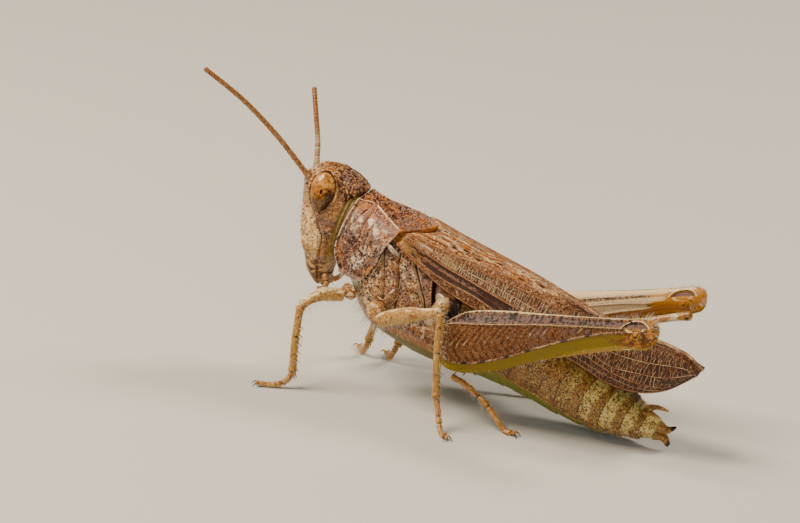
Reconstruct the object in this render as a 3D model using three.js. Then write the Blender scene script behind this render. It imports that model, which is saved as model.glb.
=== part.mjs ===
// A field grasshopper (short-horned, female) standing at rest, life size.
// Millimetres. The animal looks along -Y, +Z is up and its left side is +X.
// The floor is z = 0, under the six feet, and the origin is the middle of the model's footprint.
//
// The body is laid out in a frame of its own, tipped nose-up: x is sideways, a runs tailwards and
// h runs towards the back, both from the middle of the pronotum's front edge. The legs and
// feelers are laid out in the standing frame, measured from the same point's foot on the floor.

import * as THREE from "three";

// ---- driving dimensions ----------------------------------------------------------------------

const BODY_PITCH = THREE.MathUtils.degToRad(12.5); // nose-up tilt of the body
const COLLAR_HEIGHT = 9.79; // height of the pronotum's front edge above the floor
const COLLAR_Y = -1.957; // its place along the standing frame
const SEAM = 0.05; // half the thin cut between two neighbouring plates

const PRONOTUM_LENGTH = 3.82; // along the middle keel
const PRONOTUM_THICK = 0.3;
const DISC_HALF = 1.7; // half width of the pronotum's flat top at the back
const WING_TIP = 18.84; // tip of the closed wings, behind the collar
const WING_THICK = 0.52;
const EYE_LONG = 1.98;
const EYE_WIDE = 1.25;
const FEELER_THICK = 0.54; // a little over life, so that it can stand as a solid
const ABDOMEN_START = 6.95;
const ABDOMEN_END = 17.15;
const ABDOMEN_RINGS = 8;

// The trunk's section at stations along the body: top, underside, half width and widest height.
const TRUNK = [
  { a: -0.35, top: -0.95, under: -3.7, half: 1.2, belt: -2.4 },
  { a: 0.6, top: -0.68, under: -4.55, half: 1.42, belt: -3.0 },
  { a: 1.5, top: -0.66, under: -5.55, half: 1.62, belt: -3.5 },
  { a: 2.2, top: -0.7, under: -6.2, half: 1.9, belt: -3.8 },
  { a: 3.4, top: -0.95, under: -6.5, half: 2.22, belt: -3.9 },
  { a: 5.6, top: -1.5, under: -6.72, half: 2.28, belt: -3.9 },
  { a: 8.0, top: -1.68, under: -6.5, half: 2.08, belt: -4.1 },
  { a: 10.1, top: -2.0, under: -6.32, half: 2.05, belt: -4.3 },
  { a: 13.0, top: -2.95, under: -6.42, half: 1.92, belt: -4.75 },
  { a: 15.2, top: -3.55, under: -6.36, half: 1.65, belt: -5.0 },
  { a: 16.6, top: -4.05, under: -6.0, half: 1.22, belt: -5.05 },
  { a: 17.9, top: -4.6, under: -5.5, half: 0.6, belt: -5.1 },
];

// The head's level sections, written from the crown down and kept from the jaws up: front, back,
// widest place and half width.
const HEAD = [
  { h: 0.4, front: -2.15, back: -1.0, wide: -1.5, half: 0.4 },
  { h: 0.25, front: -2.65, back: -0.6, wide: -1.4, half: 0.68 },
  { h: -0.05, front: -3.08, back: -0.12, wide: -1.4, half: 0.9 },
  { h: -0.67, front: -3.46, back: -0.47, wide: -1.4, half: 1.02 },
  { h: -1.2, front: -3.41, back: -0.5, wide: -1.4, half: 1.12 },
  { h: -1.8, front: -3.25, back: -0.52, wide: -1.4, half: 1.28 },
  { h: -2.4, front: -3.08, back: -0.52, wide: -1.3, half: 1.44 },
  { h: -3.2, front: -2.8, back: -0.52, wide: -1.3, half: 1.5 },
  { h: -4.1, front: -2.35, back: -0.5, wide: -1.25, half: 1.38 },
  { h: -4.9, front: -1.84, back: -0.45, wide: -1.1, half: 1.14 },
  { h: -5.45, front: -1.36, back: -0.42, wide: -0.9, half: 0.86 },
  { h: -5.72, front: -1.05, back: -0.5, wide: -0.8, half: 0.5 },
].reverse();
const MOUTH_LEVEL = -4.15; // the clypeus and jaws hang below this level
const MOUTH_SLANT = 0.12; // the seam rises towards the face

// ---- colours ---------------------------------------------------------------------------------

const finish = (color, roughness) => new THREE.MeshStandardMaterial({ color, roughness, metalness: 0 });
const TAN = finish(0xb07a48, 0.55);
const RUSSET = finish(0x9a5a34, 0.6);
const CREAM = finish(0xd8b98a, 0.5);
const OCHRE = finish(0xc08a3c, 0.5);
const WING = finish(0x94663f, 0.6);
const FEELER = finish(0xb5713a, 0.55);
const EYE = finish(0xb98845, 0.15);

// ---- shape helpers ---------------------------------------------------------------------------

/** Smooth curve through [position, value] pairs; flat beyond its ends. */
function through(pairs, at) {
  const last = pairs.length - 1;
  if (at <= pairs[0][0]) return pairs[0][1];
  if (at >= pairs[last][0]) return pairs[last][1];
  let i = 0;
  while (at > pairs[i + 1][0]) i++;
  const slope = (k) => {
    const [low, high] = [pairs[Math.max(k - 1, 0)], pairs[Math.min(k + 1, last)]];
    return (high[1] - low[1]) / (high[0] - low[0]);
  };
  const span = pairs[i + 1][0] - pairs[i][0];
  const t = (at - pairs[i][0]) / span;
  const t2 = t * t;
  const t3 = t2 * t;
  return (
    (2 * t3 - 3 * t2 + 1) * pairs[i][1] +
    (t3 - 2 * t2 + t) * span * slope(i) +
    (3 * t2 - 2 * t3) * pairs[i + 1][1] +
    (t3 - t2) * span * slope(i + 1)
  );
}

/** One field of a station table, at a place along it. */
const station = (table, axis, field, at) => through(table.map((row) => [row[axis], row[field]]), at);

const lerp = THREE.MathUtils.lerp;

/** Numbers from 0 to 1 in equal steps. */
const steps = (count) => Array.from({ length: count + 1 }, (_, i) => i / count);

/** Numbers between two values in equal steps. */
const spread = (from, to, count) => steps(count).map((t) => lerp(from, to, t));

/** The angles of a closed ring of so many sides. */
const turns = (sides) => steps(sides).slice(1).map((t) => t * 2 * Math.PI);

/** Signed power, which makes a superellipse of a circle. */
const soften = (value, power) => Math.sign(value) * Math.abs(value) ** power;

/** A closed solid through rings of equal count, with fan or strip ends. */
function solid(rings, ends = "fan") {
  const count = rings[0].length;
  const points = rings.flat();
  const faces = [];
  for (let r = 0; r + 1 < rings.length; r++) {
    for (let i = 0; i < count; i++) {
      const a = r * count + i;
      const b = r * count + ((i + 1) % count);
      faces.push([a, b, a + count], [b, b + count, a + count]);
    }
  }
  for (const [r, flip] of [[0, true], [rings.length - 1, false]]) {
    const start = r * count;
    const add = (p, q, s) => faces.push(flip ? [p, s, q] : [p, q, s]);
    if (ends === "fan") {
      const hub = points.length;
      points.push(rings[r].reduce((sum, p) => sum.add(p), new THREE.Vector3()).divideScalar(count));
      for (let i = 0; i < count; i++) add(start + i, start + ((i + 1) % count), hub);
    } else {
      // A plate's ring runs out along one skin and back along the other.
      for (let i = 0; i + 1 < count / 2; i++) {
        const [p, q] = [start + i, start + i + 1];
        const [m, n] = [start + count - 1 - i, start + count - 2 - i];
        add(p, q, m);
        add(q, n, m);
      }
    }
  }
  const volume = faces.reduce((sum, [a, b, c]) => {
    return sum + points[a].dot(points[b].clone().cross(points[c]));
  }, 0);
  const outward = volume > 0 ? faces : faces.map(([a, b, c]) => [a, c, b]);
  const geometry = new THREE.BufferGeometry();
  const numbers = points.flatMap((p) => [p.x, p.y, p.z]);
  geometry.setAttribute("position", new THREE.Float32BufferAttribute(numbers, 3));
  geometry.setIndex(outward.flat());
  geometry.computeVertexNormals();
  return geometry;
}

const root = new THREE.Group();
const body = new THREE.Group(); // the tipped body frame, x sideways, y tailwards, z towards the back
body.rotation.x = -BODY_PITCH;
body.position.set(0, COLLAR_Y, COLLAR_HEIGHT);
root.add(body);

function place(group, name, geometry, material) {
  const mesh = new THREE.Mesh(geometry, material);
  mesh.name = name;
  group.add(mesh);
  return mesh;
}

const SIDES = [["left", 1], ["right", -1]];

// ---- head ------------------------------------------------------------------------------------

const HEAD_SIDES = 20;
const HEAD_SQUARE = 2 / 2.25; // slightly fuller than an ellipse

/** A level section of the head, shrunk by inset; the level may slant with a. */
function headRing(level, slant = 0, inset = 0) {
  return turns(HEAD_SIDES).map((angle) => {
    const side = soften(Math.cos(angle), HEAD_SQUARE);
    const fore = soften(Math.sin(angle), HEAD_SQUARE);
    let h = level;
    let a = 0;
    for (let pass = 0; pass < 4; pass++) {
      const wide = station(HEAD, "h", "wide", h);
      const reach = station(HEAD, "h", fore > 0 ? "front" : "back", h);
      a = wide + (reach - wide) * Math.abs(fore);
      h = level - slant * (a - wide);
    }
    return new THREE.Vector3(side * (station(HEAD, "h", "half", h) - inset), a, h);
  });
}

const CAPSULE_LEVELS = [0.4, 0.33, 0.25, 0.1, -0.05, -0.35, -0.67, -1.2, -1.8, -2.4, -3.2, -3.7];
place(body, "head", solid([
  ...CAPSULE_LEVELS.map((h) => headRing(h)),
  headRing(MOUTH_LEVEL + SEAM, MOUTH_SLANT),
]), TAN);

const JAW_LEVELS = [-4.5, -4.9, -5.2, -5.45, -5.62, -5.72];
const JAW_INSET = 0.04; // the jaws sit a little inside the capsule's rim
place(body, "mouthparts", solid([
  headRing(MOUTH_LEVEL - SEAM, MOUTH_SLANT, JAW_INSET),
  ...JAW_LEVELS.map((h) => headRing(h, 0, JAW_INSET)),
]), TAN);

// Each eye is a tall oval dome seated on the flat of the head's side, leaning in at the top.
const EYE_MIDDLE = { a: -2.05, h: -0.8 };
const EYE_LEAN = THREE.MathUtils.degToRad(12); // the oval's upper end tips forwards
const EYE_BULGE = 0.42;
const EYE_EGG = 0.16; // the lower end is the narrower one
const EYE_SIDES = 14;
const eyeSeat = (h) => 1.17 - 0.26 * (h - EYE_MIDDLE.h);

function eyeDome(sign) {
  const ring = (share, rise) => turns(EYE_SIDES).map((angle) => {
    const along = (EYE_LONG / 2) * share * Math.sin(angle);
    const across = (EYE_WIDE / 2) * share * Math.cos(angle) * (1 + EYE_EGG * Math.sin(angle));
    const a = EYE_MIDDLE.a - along * Math.sin(EYE_LEAN) + across * Math.cos(EYE_LEAN);
    const h = EYE_MIDDLE.h + along * Math.cos(EYE_LEAN) + across * Math.sin(EYE_LEAN);
    return new THREE.Vector3(sign * (eyeSeat(h) + rise), a, h);
  });
  return solid([0, 0.3, 0.55, 0.78, 0.94].map((s) => ring(Math.sqrt(1 - s * s), SEAM + EYE_BULGE * s)));
}
for (const [side, sign] of SIDES) place(body, `eye_${side}`, eyeDome(sign), EYE);

// ---- limbs, feelers and palps ----------------------------------------------------------------

/**
 * A tapering rod along a smooth path. `size(t)` gives [half across, half deep] and `across` is
 * the direction of the first. Both ends are rounded off by a smaller end ring.
 */
function rod(path, size, { sides = 8, lengths = 8, across = new THREE.Vector3(1, 0, 0), trim = [0, 0] } = {}) {
  const curve = new THREE.CatmullRomCurve3(path.map((p) => new THREE.Vector3(...p)), false, "centripetal");
  const total = curve.getLength();
  const [from, to] = [trim[0] / total, 1 - trim[1] / total];
  const stops = [0, 0.03, ...steps(lengths).slice(1, -1), 0.97, 1];
  return stops.map((t) => {
    const u = lerp(from, to, t);
    const centre = curve.getPointAt(u);
    const along = curve.getTangentAt(u);
    const sideways = across.clone().addScaledVector(along, -across.dot(along)).normalize();
    const deep = new THREE.Vector3().crossVectors(along, sideways);
    const round = t === 0 || t === 1 ? 0.7 : 1;
    const [wide, tall] = size(t);
    return turns(sides).map((angle) => centre.clone()
      .addScaledVector(sideways, wide * round * Math.cos(angle))
      .addScaledVector(deep, tall * round * Math.sin(angle)));
  });
}

const mirrored = (point, sign) => [point[0] * sign, point[1], point[2]];

// The feelers, in the standing frame. The left one reaches forwards and out, the right one up.
const FEELERS = {
  left: [[0.6, -5.5, 10.02], [1.25, -6.92, 11.8], [2.1, -8.6, 13.48], [3.0, -10.51, 14.91]],
  right: [[-0.6, -5.22, 10.3], [-1.15, -5.5, 11.2], [-1.75, -5.98, 12.4], [-2.45, -6.5, 13.55]],
};
for (const [side] of SIDES) {
  const half = FEELER_THICK / 2;
  const rings = rod(FEELERS[side], (t) => [half * (1 - 0.06 * t), half * (1 - 0.06 * t)], { lengths: 10 });
  place(root, `antenna_${side}`, solid(rings), FEELER);
}

// The jaw feelers hang behind the mouth, in the body frame.
for (const [side, sign] of SIDES) {
  const path = [[1.28, -0.18, -4.8], [1.32, -0.18, -5.2], [1.15, -0.42, -5.78]];
  const rings = rod(path.map((p) => mirrored(p, sign)), () => [0.25, 0.25], { sides: 6, lengths: 3 });
  place(body, `palp_${side}`, solid(rings), CREAM);
}

// ---- thorax ----------------------------------------------------------------------------------

const TRUNK_SIDES = 20;
const TRUNK_SQUARE = 2 / 2.2;

/** A cut of the trunk at a, leaning back by lean per unit of height below the belt. */
function trunkRing(at, lean = 0, shrink = 0) {
  return turns(TRUNK_SIDES).map((angle) => {
    const side = soften(Math.cos(angle), TRUNK_SQUARE);
    const rise = soften(Math.sin(angle), TRUNK_SQUARE);
    let a = at;
    let h = 0;
    for (let pass = 0; pass < 4; pass++) {
      const belt = station(TRUNK, "a", "belt", a);
      const reach = station(TRUNK, "a", rise > 0 ? "top" : "under", a);
      h = belt + (reach - belt) * Math.abs(rise) * (1 - shrink);
      a = at - lean * (h - belt);
    }
    return new THREE.Vector3(side * station(TRUNK, "a", "half", a) * (1 - shrink), a, h);
  });
}

const PLEURON_LEAN = 0.16; // the side plates' seams slope back towards the legs
const WAIST_LEAN = 0.8 * PLEURON_LEAN;
const MIDDLE_SEAM = 3.95;
place(body, "mesothorax", solid([
  ...spread(-0.35, 1.6, 4).map((a) => trunkRing(a)),
  ...spread(2.1, MIDDLE_SEAM - SEAM, 4).map((a, i) => trunkRing(a, (PLEURON_LEAN * (i + 1)) / 5)),
]), TAN);
place(body, "metathorax", solid([
  ...spread(MIDDLE_SEAM + SEAM, ABDOMEN_START - SEAM, 5).map((a) => trunkRing(a, WAIST_LEAN)),
]), TAN);

// The pronotum is a saddle: a section from keel to lobe, swept between its front and rear edges.
const LOBE = 1; // place of the lobe's lower edge across the section
const PRONOTUM_FRONT = [[0, 0], [0.3, -0.31], [0.45, -0.34], [0.65, -0.42], [0.85, -0.3], [LOBE, 0.3]];
const PRONOTUM_REAR = [
  [0, PRONOTUM_LENGTH], [0.15, 3.35], [0.3, 2.6], [0.45, 2.43], [0.65, 2.1], [0.85, 1.95], [LOBE, 1.45],
];
const discHalf = (a) => through([[-0.31, 0.85], [0.5, 0.64], [1.4, 1.1], [2.55, DISC_HALF], [3.9, DISC_HALF]], a);
const keelHeight = (a) => through([[-0.1, -0.06], [0, -0.05], [1.35, -0.22], [2.75, -0.22], [3.9, -0.36]], a);
const discHeight = (a) => through([[-0.31, -0.5], [0.5, -0.4], [1.4, -0.52], [2.55, -0.7], [3.9, -0.72]], a);

/** A point of the pronotum's outer skin: u from front to rear, s from keel to lobe. */
function saddlePoint(u, s) {
  const a = lerp(through(PRONOTUM_FRONT, s), through(PRONOTUM_REAR, s), u);
  const back = (a + 0.35) / 2.8; // 0 at the front of the sides, 1 at their rear
  const x = through([
    [0, 0], [0.3, discHalf(a)], [0.45, lerp(1.3, 2.0, back)],
    [0.65, lerp(1.6, 2.1, back)], [0.85, lerp(1.8, 2.1, back)], [LOBE, lerp(1.7, 2.0, back)],
  ], s);
  const h = through([
    [0, keelHeight(a)], [0.3, discHeight(a)], [0.45, -1.0], [0.65, -1.95], [0.85, -3.1], [LOBE, -4.05],
  ], s);
  return { x, a, h };
}

/** Direction from outer to inner skin, turning from straight down at the keel to inwards. */
function inward(s, turnBy) {
  const angle = Math.min(s / turnBy, 1) * (Math.PI / 2);
  return { x: -Math.sin(angle), h: -Math.cos(angle) };
}

const saddleAcross = [...steps(4).map((t) => t * 0.3), 0.36, 0.45, 0.55, 0.65, 0.75, 0.85, 0.93, LOBE];
const saddleBoth = [...saddleAcross.slice(1).reverse().map((s) => -s), ...saddleAcross];
const saddleRings = steps(7).map((u) => {
  const outer = [];
  const inner = [];
  for (const s of saddleBoth) {
    const { x, a, h } = saddlePoint(u, Math.abs(s));
    const dir = inward(Math.abs(s), 0.5);
    const sign = Math.sign(s);
    outer.push(new THREE.Vector3(sign * x, a, h));
    inner.push(new THREE.Vector3(sign * (x + dir.x * PRONOTUM_THICK), a, h + dir.h * PRONOTUM_THICK));
  }
  return [...outer, ...inner.reverse()];
});
place(body, "pronotum", solid(saddleRings, "strip"), RUSSET);

// ---- wings -----------------------------------------------------------------------------------

const WING_TOP = [
  [2.4, -0.34], [4.5, -0.35], [7.6, -0.46], [9.5, -0.54], [11.1, -0.68], [13.4, -0.86], [16.1, -0.76], [17.8, -0.76],
  [WING_TIP, -1.16],
];
const WING_SHOULDER = [[2.4, 1.62], [4.5, 1.5], [8, 1.25], [12, 1.0], [15, 0.8], [17.5, 0.62], [WING_TIP, 0.56]];
const WING_LOW_X = [
  [2.4, 2.02], [6, 2.3], [10, 2.15], [13.3, 1.75], [15, 1.5], [16.6, 1.25], [17.8, 0.95], [WING_TIP, 0.6],
];
const WING_LOW_H = [
  [2.4, -1.25], [4.2, -1.85], [6, -2.35], [10, -2.75], [13.3, -3.05], [15, -3.4], [16.6, -3.2], [17.8, -2.55],
  [WING_TIP, -1.35],
];
const WING_PARTING = 0.04; // the wings meet along the middle of the back

/** A point of the closed wing's outer skin at a: v runs from the back's middle to the lower edge. */
function wingPoint(a, v) {
  const [top, shoulder] = [through(WING_TOP, a), through(WING_SHOULDER, a)];
  const [lowX, lowH] = [through(WING_LOW_X, a), through(WING_LOW_H, a)];
  const drop = Math.min(0.34, 0.2 * (top - lowH));
  return {
    x: through([
      [0, WING_PARTING], [0.2, 0.55 * shoulder], [0.4, shoulder], [0.6, lerp(shoulder, lowX, 0.5)],
      [0.8, lerp(shoulder, lowX, 0.85)], [1, lowX],
    ], v),
    h: through([
      [0, top], [0.2, top - 0.42 * drop], [0.4, top - drop], [0.6, lerp(top, lowH, 0.42)],
      [0.8, lerp(top, lowH, 0.7)], [1, lowH],
    ], v),
  };
}

/** Where the wing starts, just behind the pronotum's rear edge. */
function wingStart(v) {
  let a = 3;
  for (let pass = 0; pass < 8; pass++) {
    const { x } = wingPoint(a, v);
    const s = x < DISC_HALF ? (0.3 * x) / DISC_HALF : 0.3 + Math.max(0, -0.75 - wingPoint(a, v).h) * 0.45;
    a = lerp(a, through(PRONOTUM_REAR, s) + 4 * SEAM, 0.6);
  }
  return a;
}

function wing(sign) {
  const across = steps(9);
  const starts = across.map(wingStart);
  const lengths = [0, 0.06, 0.15, 0.27, 0.4, 0.52, 0.63, 0.73, 0.82, 0.89, 0.95, 0.98, 1];
  return solid(lengths.map((u) => {
    const outer = [];
    const inner = [];
    across.forEach((v, i) => {
      const a = lerp(starts[i], WING_TIP, u);
      const { x, h } = wingPoint(a, v);
      const dir = inward(v, 0.55);
      const thick = WING_THICK * (1 - 0.1 * u);
      const innerX = Math.max(x + dir.x * thick, WING_PARTING);
      outer.push(new THREE.Vector3(sign * x, a, h));
      inner.push(new THREE.Vector3(sign * innerX, a, h + dir.h * thick));
    });
    return [...outer, ...inner.reverse()];
  }), "strip");
}
for (const [side, sign] of SIDES) place(body, `tegmen_${side}`, wing(sign), WING);

// The hind wings lie folded under the fore wings, as a narrow fan on the back of the abdomen.
const FAN = { from: 5.7, to: 16.6, thick: 0.5, inset: 0.34, clear: 0.12, droop: 0.14, tip: 0.86 };
function hindWing(sign) {
  return solid(spread(FAN.from, FAN.to, 8).map((a) => {
    const half = (through(WING_SHOULDER, a) - FAN.inset) * (a > 15 ? FAN.tip : 1);
    const top = through(WING_TOP, a) - WING_THICK - FAN.clear;
    const outer = [[SEAM, 0], [half / 2, -FAN.droop / 7], [half, -FAN.droop]];
    const inner = outer.map(([x, h]) => [x, h - FAN.thick]).reverse();
    return [...outer, ...inner].map(([x, h]) => new THREE.Vector3(sign * x, a, top + h));
  }), "strip");
}
for (const [side, sign] of SIDES) place(body, `hindwing_${side}`, hindWing(sign), WING);

// ---- abdomen ---------------------------------------------------------------------------------

const ringLength = (ABDOMEN_END - ABDOMEN_START) / ABDOMEN_RINGS;
const RING_EDGE = 0.02; // each ring draws in by this share at its two edges
const ringLean = (edge) => WAIST_LEAN * Math.max(0, 1 - edge / 2); // upright from the third ring on
for (let k = 0; k < ABDOMEN_RINGS; k++) {
  const from = ABDOMEN_START + k * ringLength + SEAM;
  const to = ABDOMEN_START + (k + 1) * ringLength - SEAM;
  const cuts = [[0, RING_EDGE], [0.3, 0], [0.85, 0], [1, RING_EDGE]];
  place(body, `abdomen_${k + 1}`, solid(cuts.map(([t, shrink]) => {
    return trunkRing(lerp(from, to, t), lerp(ringLean(k), ringLean(k + 1), t), shrink);
  })), k % 2 ? OCHRE : TAN);
}
const TIP_CUTS = [ABDOMEN_END + SEAM, 17.35, 17.6, 17.8];
place(body, "abdomen_tip", solid(TIP_CUTS.map((a) => trunkRing(a, 0, RING_EDGE))), OCHRE);

// The cerci and the four short egg-laying valves, joined as an upper and a lower pair.
for (const [side, sign] of SIDES) {
  const path = [[0.52, 17.3, -4.06], [0.62, 17.65, -4.12], [0.7, 18.0, -4.2]];
  const rings = rod(path.map((p) => mirrored(p, sign)), (t) => [0.25 - 0.08 * t, 0.25 - 0.08 * t], {
    sides: 6, lengths: 3,
  });
  place(body, `cercus_${side}`, solid(rings), OCHRE);
}
for (const [name, h, rise] of [["ovipositor_upper", -4.82, 0.22], ["ovipositor_lower", -5.34, -0.2]]) {
  const path = [[0, 17.9, h], [0, 18.3, h], [0, 18.7, h + rise]];
  place(body, name, solid(rod(path, (t) => [0.34 - 0.16 * t, 0.2 - 0.06 * t], { lengths: 3 })), OCHRE);
}

// ---- legs ------------------------------------------------------------------------------------

const SHIN = 0.26; // half thickness of a tibia
const SOLE = 0.16; // height of a foot's middle line over the floor, less than its half thickness

/** Flattens whatever dips below the floor, which makes the sole. */
const flatSole = (rings) => rings.map((ring) => ring.map((p) => new THREE.Vector3(p.x, p.y, Math.max(p.z, 0))));

/** A walking leg of the front or middle pair, from joint positions in the standing frame. */
function walkingLeg(name, sign, { coxa, hip, bow, knee, ankle, foot, thigh, clear, bend }) {
  const at = (point) => mirrored(point, sign);
  const across = new THREE.Vector3(0, 0, 1);
  const outwards = new THREE.Vector3(1, 0, 0);
  place(root, `${name}_coxa`, solid(rod([at(coxa), at(hip)], (t) => [0.5 - 0.12 * t, 0.38 - 0.06 * t], {
    across: new THREE.Vector3(0, 1, 0), lengths: 3,
  })), CREAM);
  place(root, `${name}_femur`, solid(rod([at(hip), at(bow), at(knee)], (t) => {
    const swell = thigh * (0.82 + 0.25 * Math.sin(Math.PI * Math.min(1, t * 1.3)) - 0.12 * t);
    return [swell, swell * 0.9];
  }, { across, trim: [clear, 0] })), OCHRE);
  place(root, `${name}_tibia`, solid(rod([at(knee), at(ankle)], (t) => {
    const half = SHIN + 0.04 * Math.cos(2 * Math.PI * t);
    return [half, half];
  }, { across: outwards, lengths: 4, trim: [thigh + bend, 0] })), OCHRE);
  const toes = foot.map(at);
  place(root, `${name}_tarsus`, solid(flatSole(rod([at(ankle), ...toes], (t) => {
    const half = 0.27 - 0.02 * Math.cos(6 * Math.PI * t);
    return [half, half];
  }, { across: outwards, lengths: 7, trim: [0.24, 0] }))), CREAM);
}

walkingLeg("front_left", 1, {
  coxa: [1.5, -1.75, 5.0], hip: [2.0, -2.0, 4.7], bow: [2.8, -2.95, 4.72], knee: [3.6, -3.7, 4.2],
  ankle: [4.1, -3.5, 0.8], foot: [[4.3, -3.72, 0.38], [4.62, -4.2, SOLE], [4.95, -4.85, SOLE]],
  thigh: 0.36, clear: 0.2, bend: 0.04,
});
walkingLeg("front_right", -1, {
  coxa: [1.5, -1.75, 5.0], hip: [2.0, -1.95, 4.7], bow: [2.85, -1.6, 4.9], knee: [3.75, -1.3, 4.55],
  ankle: [2.95, -2.0, 0.8], foot: [[3.0, -2.15, 0.38], [3.3, -2.35, SOLE], [3.85, -2.7, SOLE]],
  thigh: 0.36, clear: 0.3, bend: 0.04,
});
walkingLeg("middle_left", 1, {
  coxa: [2.52, -0.12, 4.98], hip: [2.72, -0.05, 4.0], bow: [3.4, 1.85, 4.96], knee: [4.2, 3.72, 5.73],
  ankle: [4.62, 4.22, 1.45], foot: [[4.85, 4.48, 1.0], [5.3, 4.8, 0.4], [5.55, 5.0, SOLE], [5.95, 5.35, SOLE]],
  thigh: 0.4, clear: 0.48, bend: 0.04,
});
walkingLeg("middle_right", -1, {
  coxa: [2.52, -0.12, 4.98], hip: [2.72, -0.05, 4.0], bow: [3.3, 0.8, 4.75], knee: [4.0, 1.7, 5.3],
  ankle: [3.0, -0.5, 0.9], foot: [[3.05, -0.65, 0.45], [3.3, -0.88, SOLE], [3.85, -1.2, SOLE]],
  thigh: 0.4, clear: 0.55, bend: 0.2,
});

// The hind thigh is a flattened club. Its section has an outer face, a lower flange on the outer
// side and a notch behind the flange, where the folded shin lies.
const THIGH_TOP = [
  [0, 4.62], [0.06, 5.25], [0.13, 5.73], [0.27, 6.14], [0.45, 6.49], [0.64, 6.87], [0.83, 7.29], [0.93, 7.6],
  [1, 7.5],
];
const THIGH_UNDER = [
  [0, 3.2], [0.06, 2.75], [0.15, 2.76], [0.3, 3.28], [0.47, 4.26], [0.65, 5.16], [0.83, 5.92], [0.93, 6.12],
  [1, 6.45],
];
const THIGH_WIDE = [
  [0, 0.36], [0.1, 0.58], [0.3, 0.68], [0.5, 0.6], [0.7, 0.44], [0.85, 0.42], [0.94, 0.46], [1, 0.36],
];
const SHIN_GROOVE = 0.42; // depth of the notch that takes the folded shin
const THIGH_FROM = 3.45;
const THIGH_TO = 14.6;
const THIGH_X = [2.98, 3.4]; // outward place of its middle plane, at hip and knee

function hindThigh(sign, back, sink) {
  const stops = [0, 0.03, 0.08, 0.15, 0.24, 0.34, 0.45, 0.56, 0.67, 0.78, 0.86, 0.92, 0.97, 1];
  return solid(stops.map((t) => {
    const low = through(THIGH_UNDER, t);
    const high = through(THIGH_TOP, t);
    const middle = (low + high) / 2;
    const half = (high - low) / 2;
    const wide = through(THIGH_WIDE, t);
    const notch = Math.min(SHIN_GROOVE, half);
    const outline = [
      [0.12, half], [0.75 * wide, 0.78 * half], [wide, 0.2 * half], [wide, -0.35 * half],
      [0.72 * wide, -0.8 * half], [0.42, -half], [0.18, -half], [0.12, -half + notch],
      [-0.8 * wide, -half + notch + 0.05], [-wide, 0.1 * half], [-0.8 * wide, 0.7 * half], [-0.12, half],
    ];
    return outline.map(([x, z]) => new THREE.Vector3(
      sign * (lerp(THIGH_X[0], THIGH_X[1], t) + x),
      lerp(THIGH_FROM, THIGH_TO, t) + back,
      middle + z - sink * (1 - t),
    ));
  }));
}

/** A hind leg; back moves it tailwards and sink lowers its hip end about the knee. */
function hindLeg(name, sign, { back, sink, foot }) {
  const at = ([x, y, z]) => [x * sign, y + back, z - sink * Math.max(0, (14 - y) / 10.5)];
  // The coxa and trochanter make a rounded knob above and before the thigh's root.
  const knob = [[2.62, 3.38, 5.82], [2.72, 3.08, 5.0], [2.8, 3.08, 4.0]];
  place(root, `${name}_coxa`, solid(rod(knob.map(at), (t) => {
    const half = 0.34 + 0.06 * Math.sin(Math.PI * t);
    return [half * 0.85, half * 0.75];
  }, { lengths: 5 })), CREAM);
  place(root, `${name}_femur`, hindThigh(sign, back, sink), RUSSET);
  const shin = [[3.0, 14.1, 6.22], [2.94, 12.0, 5.58], [2.84, 8.0, 4.0], [2.74, 6.0, 3.1], [2.72, 4.6, 2.62]];
  place(root, `${name}_tibia`, solid(rod(shin.map(at), () => [SHIN, SHIN], { lengths: 9 })), OCHRE);
  place(root, `${name}_tarsus`, solid(flatSole(rod(foot.map((p) => mirrored(p, sign)), (t) => {
    const half = 0.3 - 0.05 * t;
    return [half, half];
  }, { lengths: 9 }))), OCHRE);
}

hindLeg("hind_left", 1, {
  back: 0, sink: 0,
  foot: [
    [2.76, 4.3, 2.16], [2.85, 5.12, 1.92], [2.95, 6.22, 1.28], [3.05, 7.02, 0.6], [3.12, 7.5, SOLE], [3.2, 7.95, SOLE],
  ],
});
hindLeg("hind_right", -1, {
  back: 0.45, sink: 0.8,
  foot: [
    [2.76, 4.65, 1.42], [2.85, 5.3, 1.2], [2.95, 6.2, 0.8], [3.05, 7.0, 0.4], [3.15, 7.5, SOLE], [3.25, 8.0, SOLE],
  ],
});

// ---- origin ----------------------------------------------------------------------------------

root.updateMatrixWorld(true);
const extent = new THREE.Box3().setFromObject(root, true);
root.position.set(-(extent.min.x + extent.max.x) / 2, -(extent.min.y + extent.max.y) / 2, 0);
root.updateMatrixWorld(true);

export default root;
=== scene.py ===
"""A short-horned field grasshopper at rest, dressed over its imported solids.

Lengths are millimetres while a piece is shaped and become metres when its mesh is made.
The animal looks along -Y, +Z is up and its left side is +X. The body has a frame of its own,
tipped nose-up: x is sideways, a runs tailwards and h towards the back, from the pronotum's front.
"""

import functools
import math

import bpy
import numpy as np
from bpy.props import FloatProperty, FloatVectorProperty, PointerProperty
from mathutils import Matrix, Vector


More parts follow.
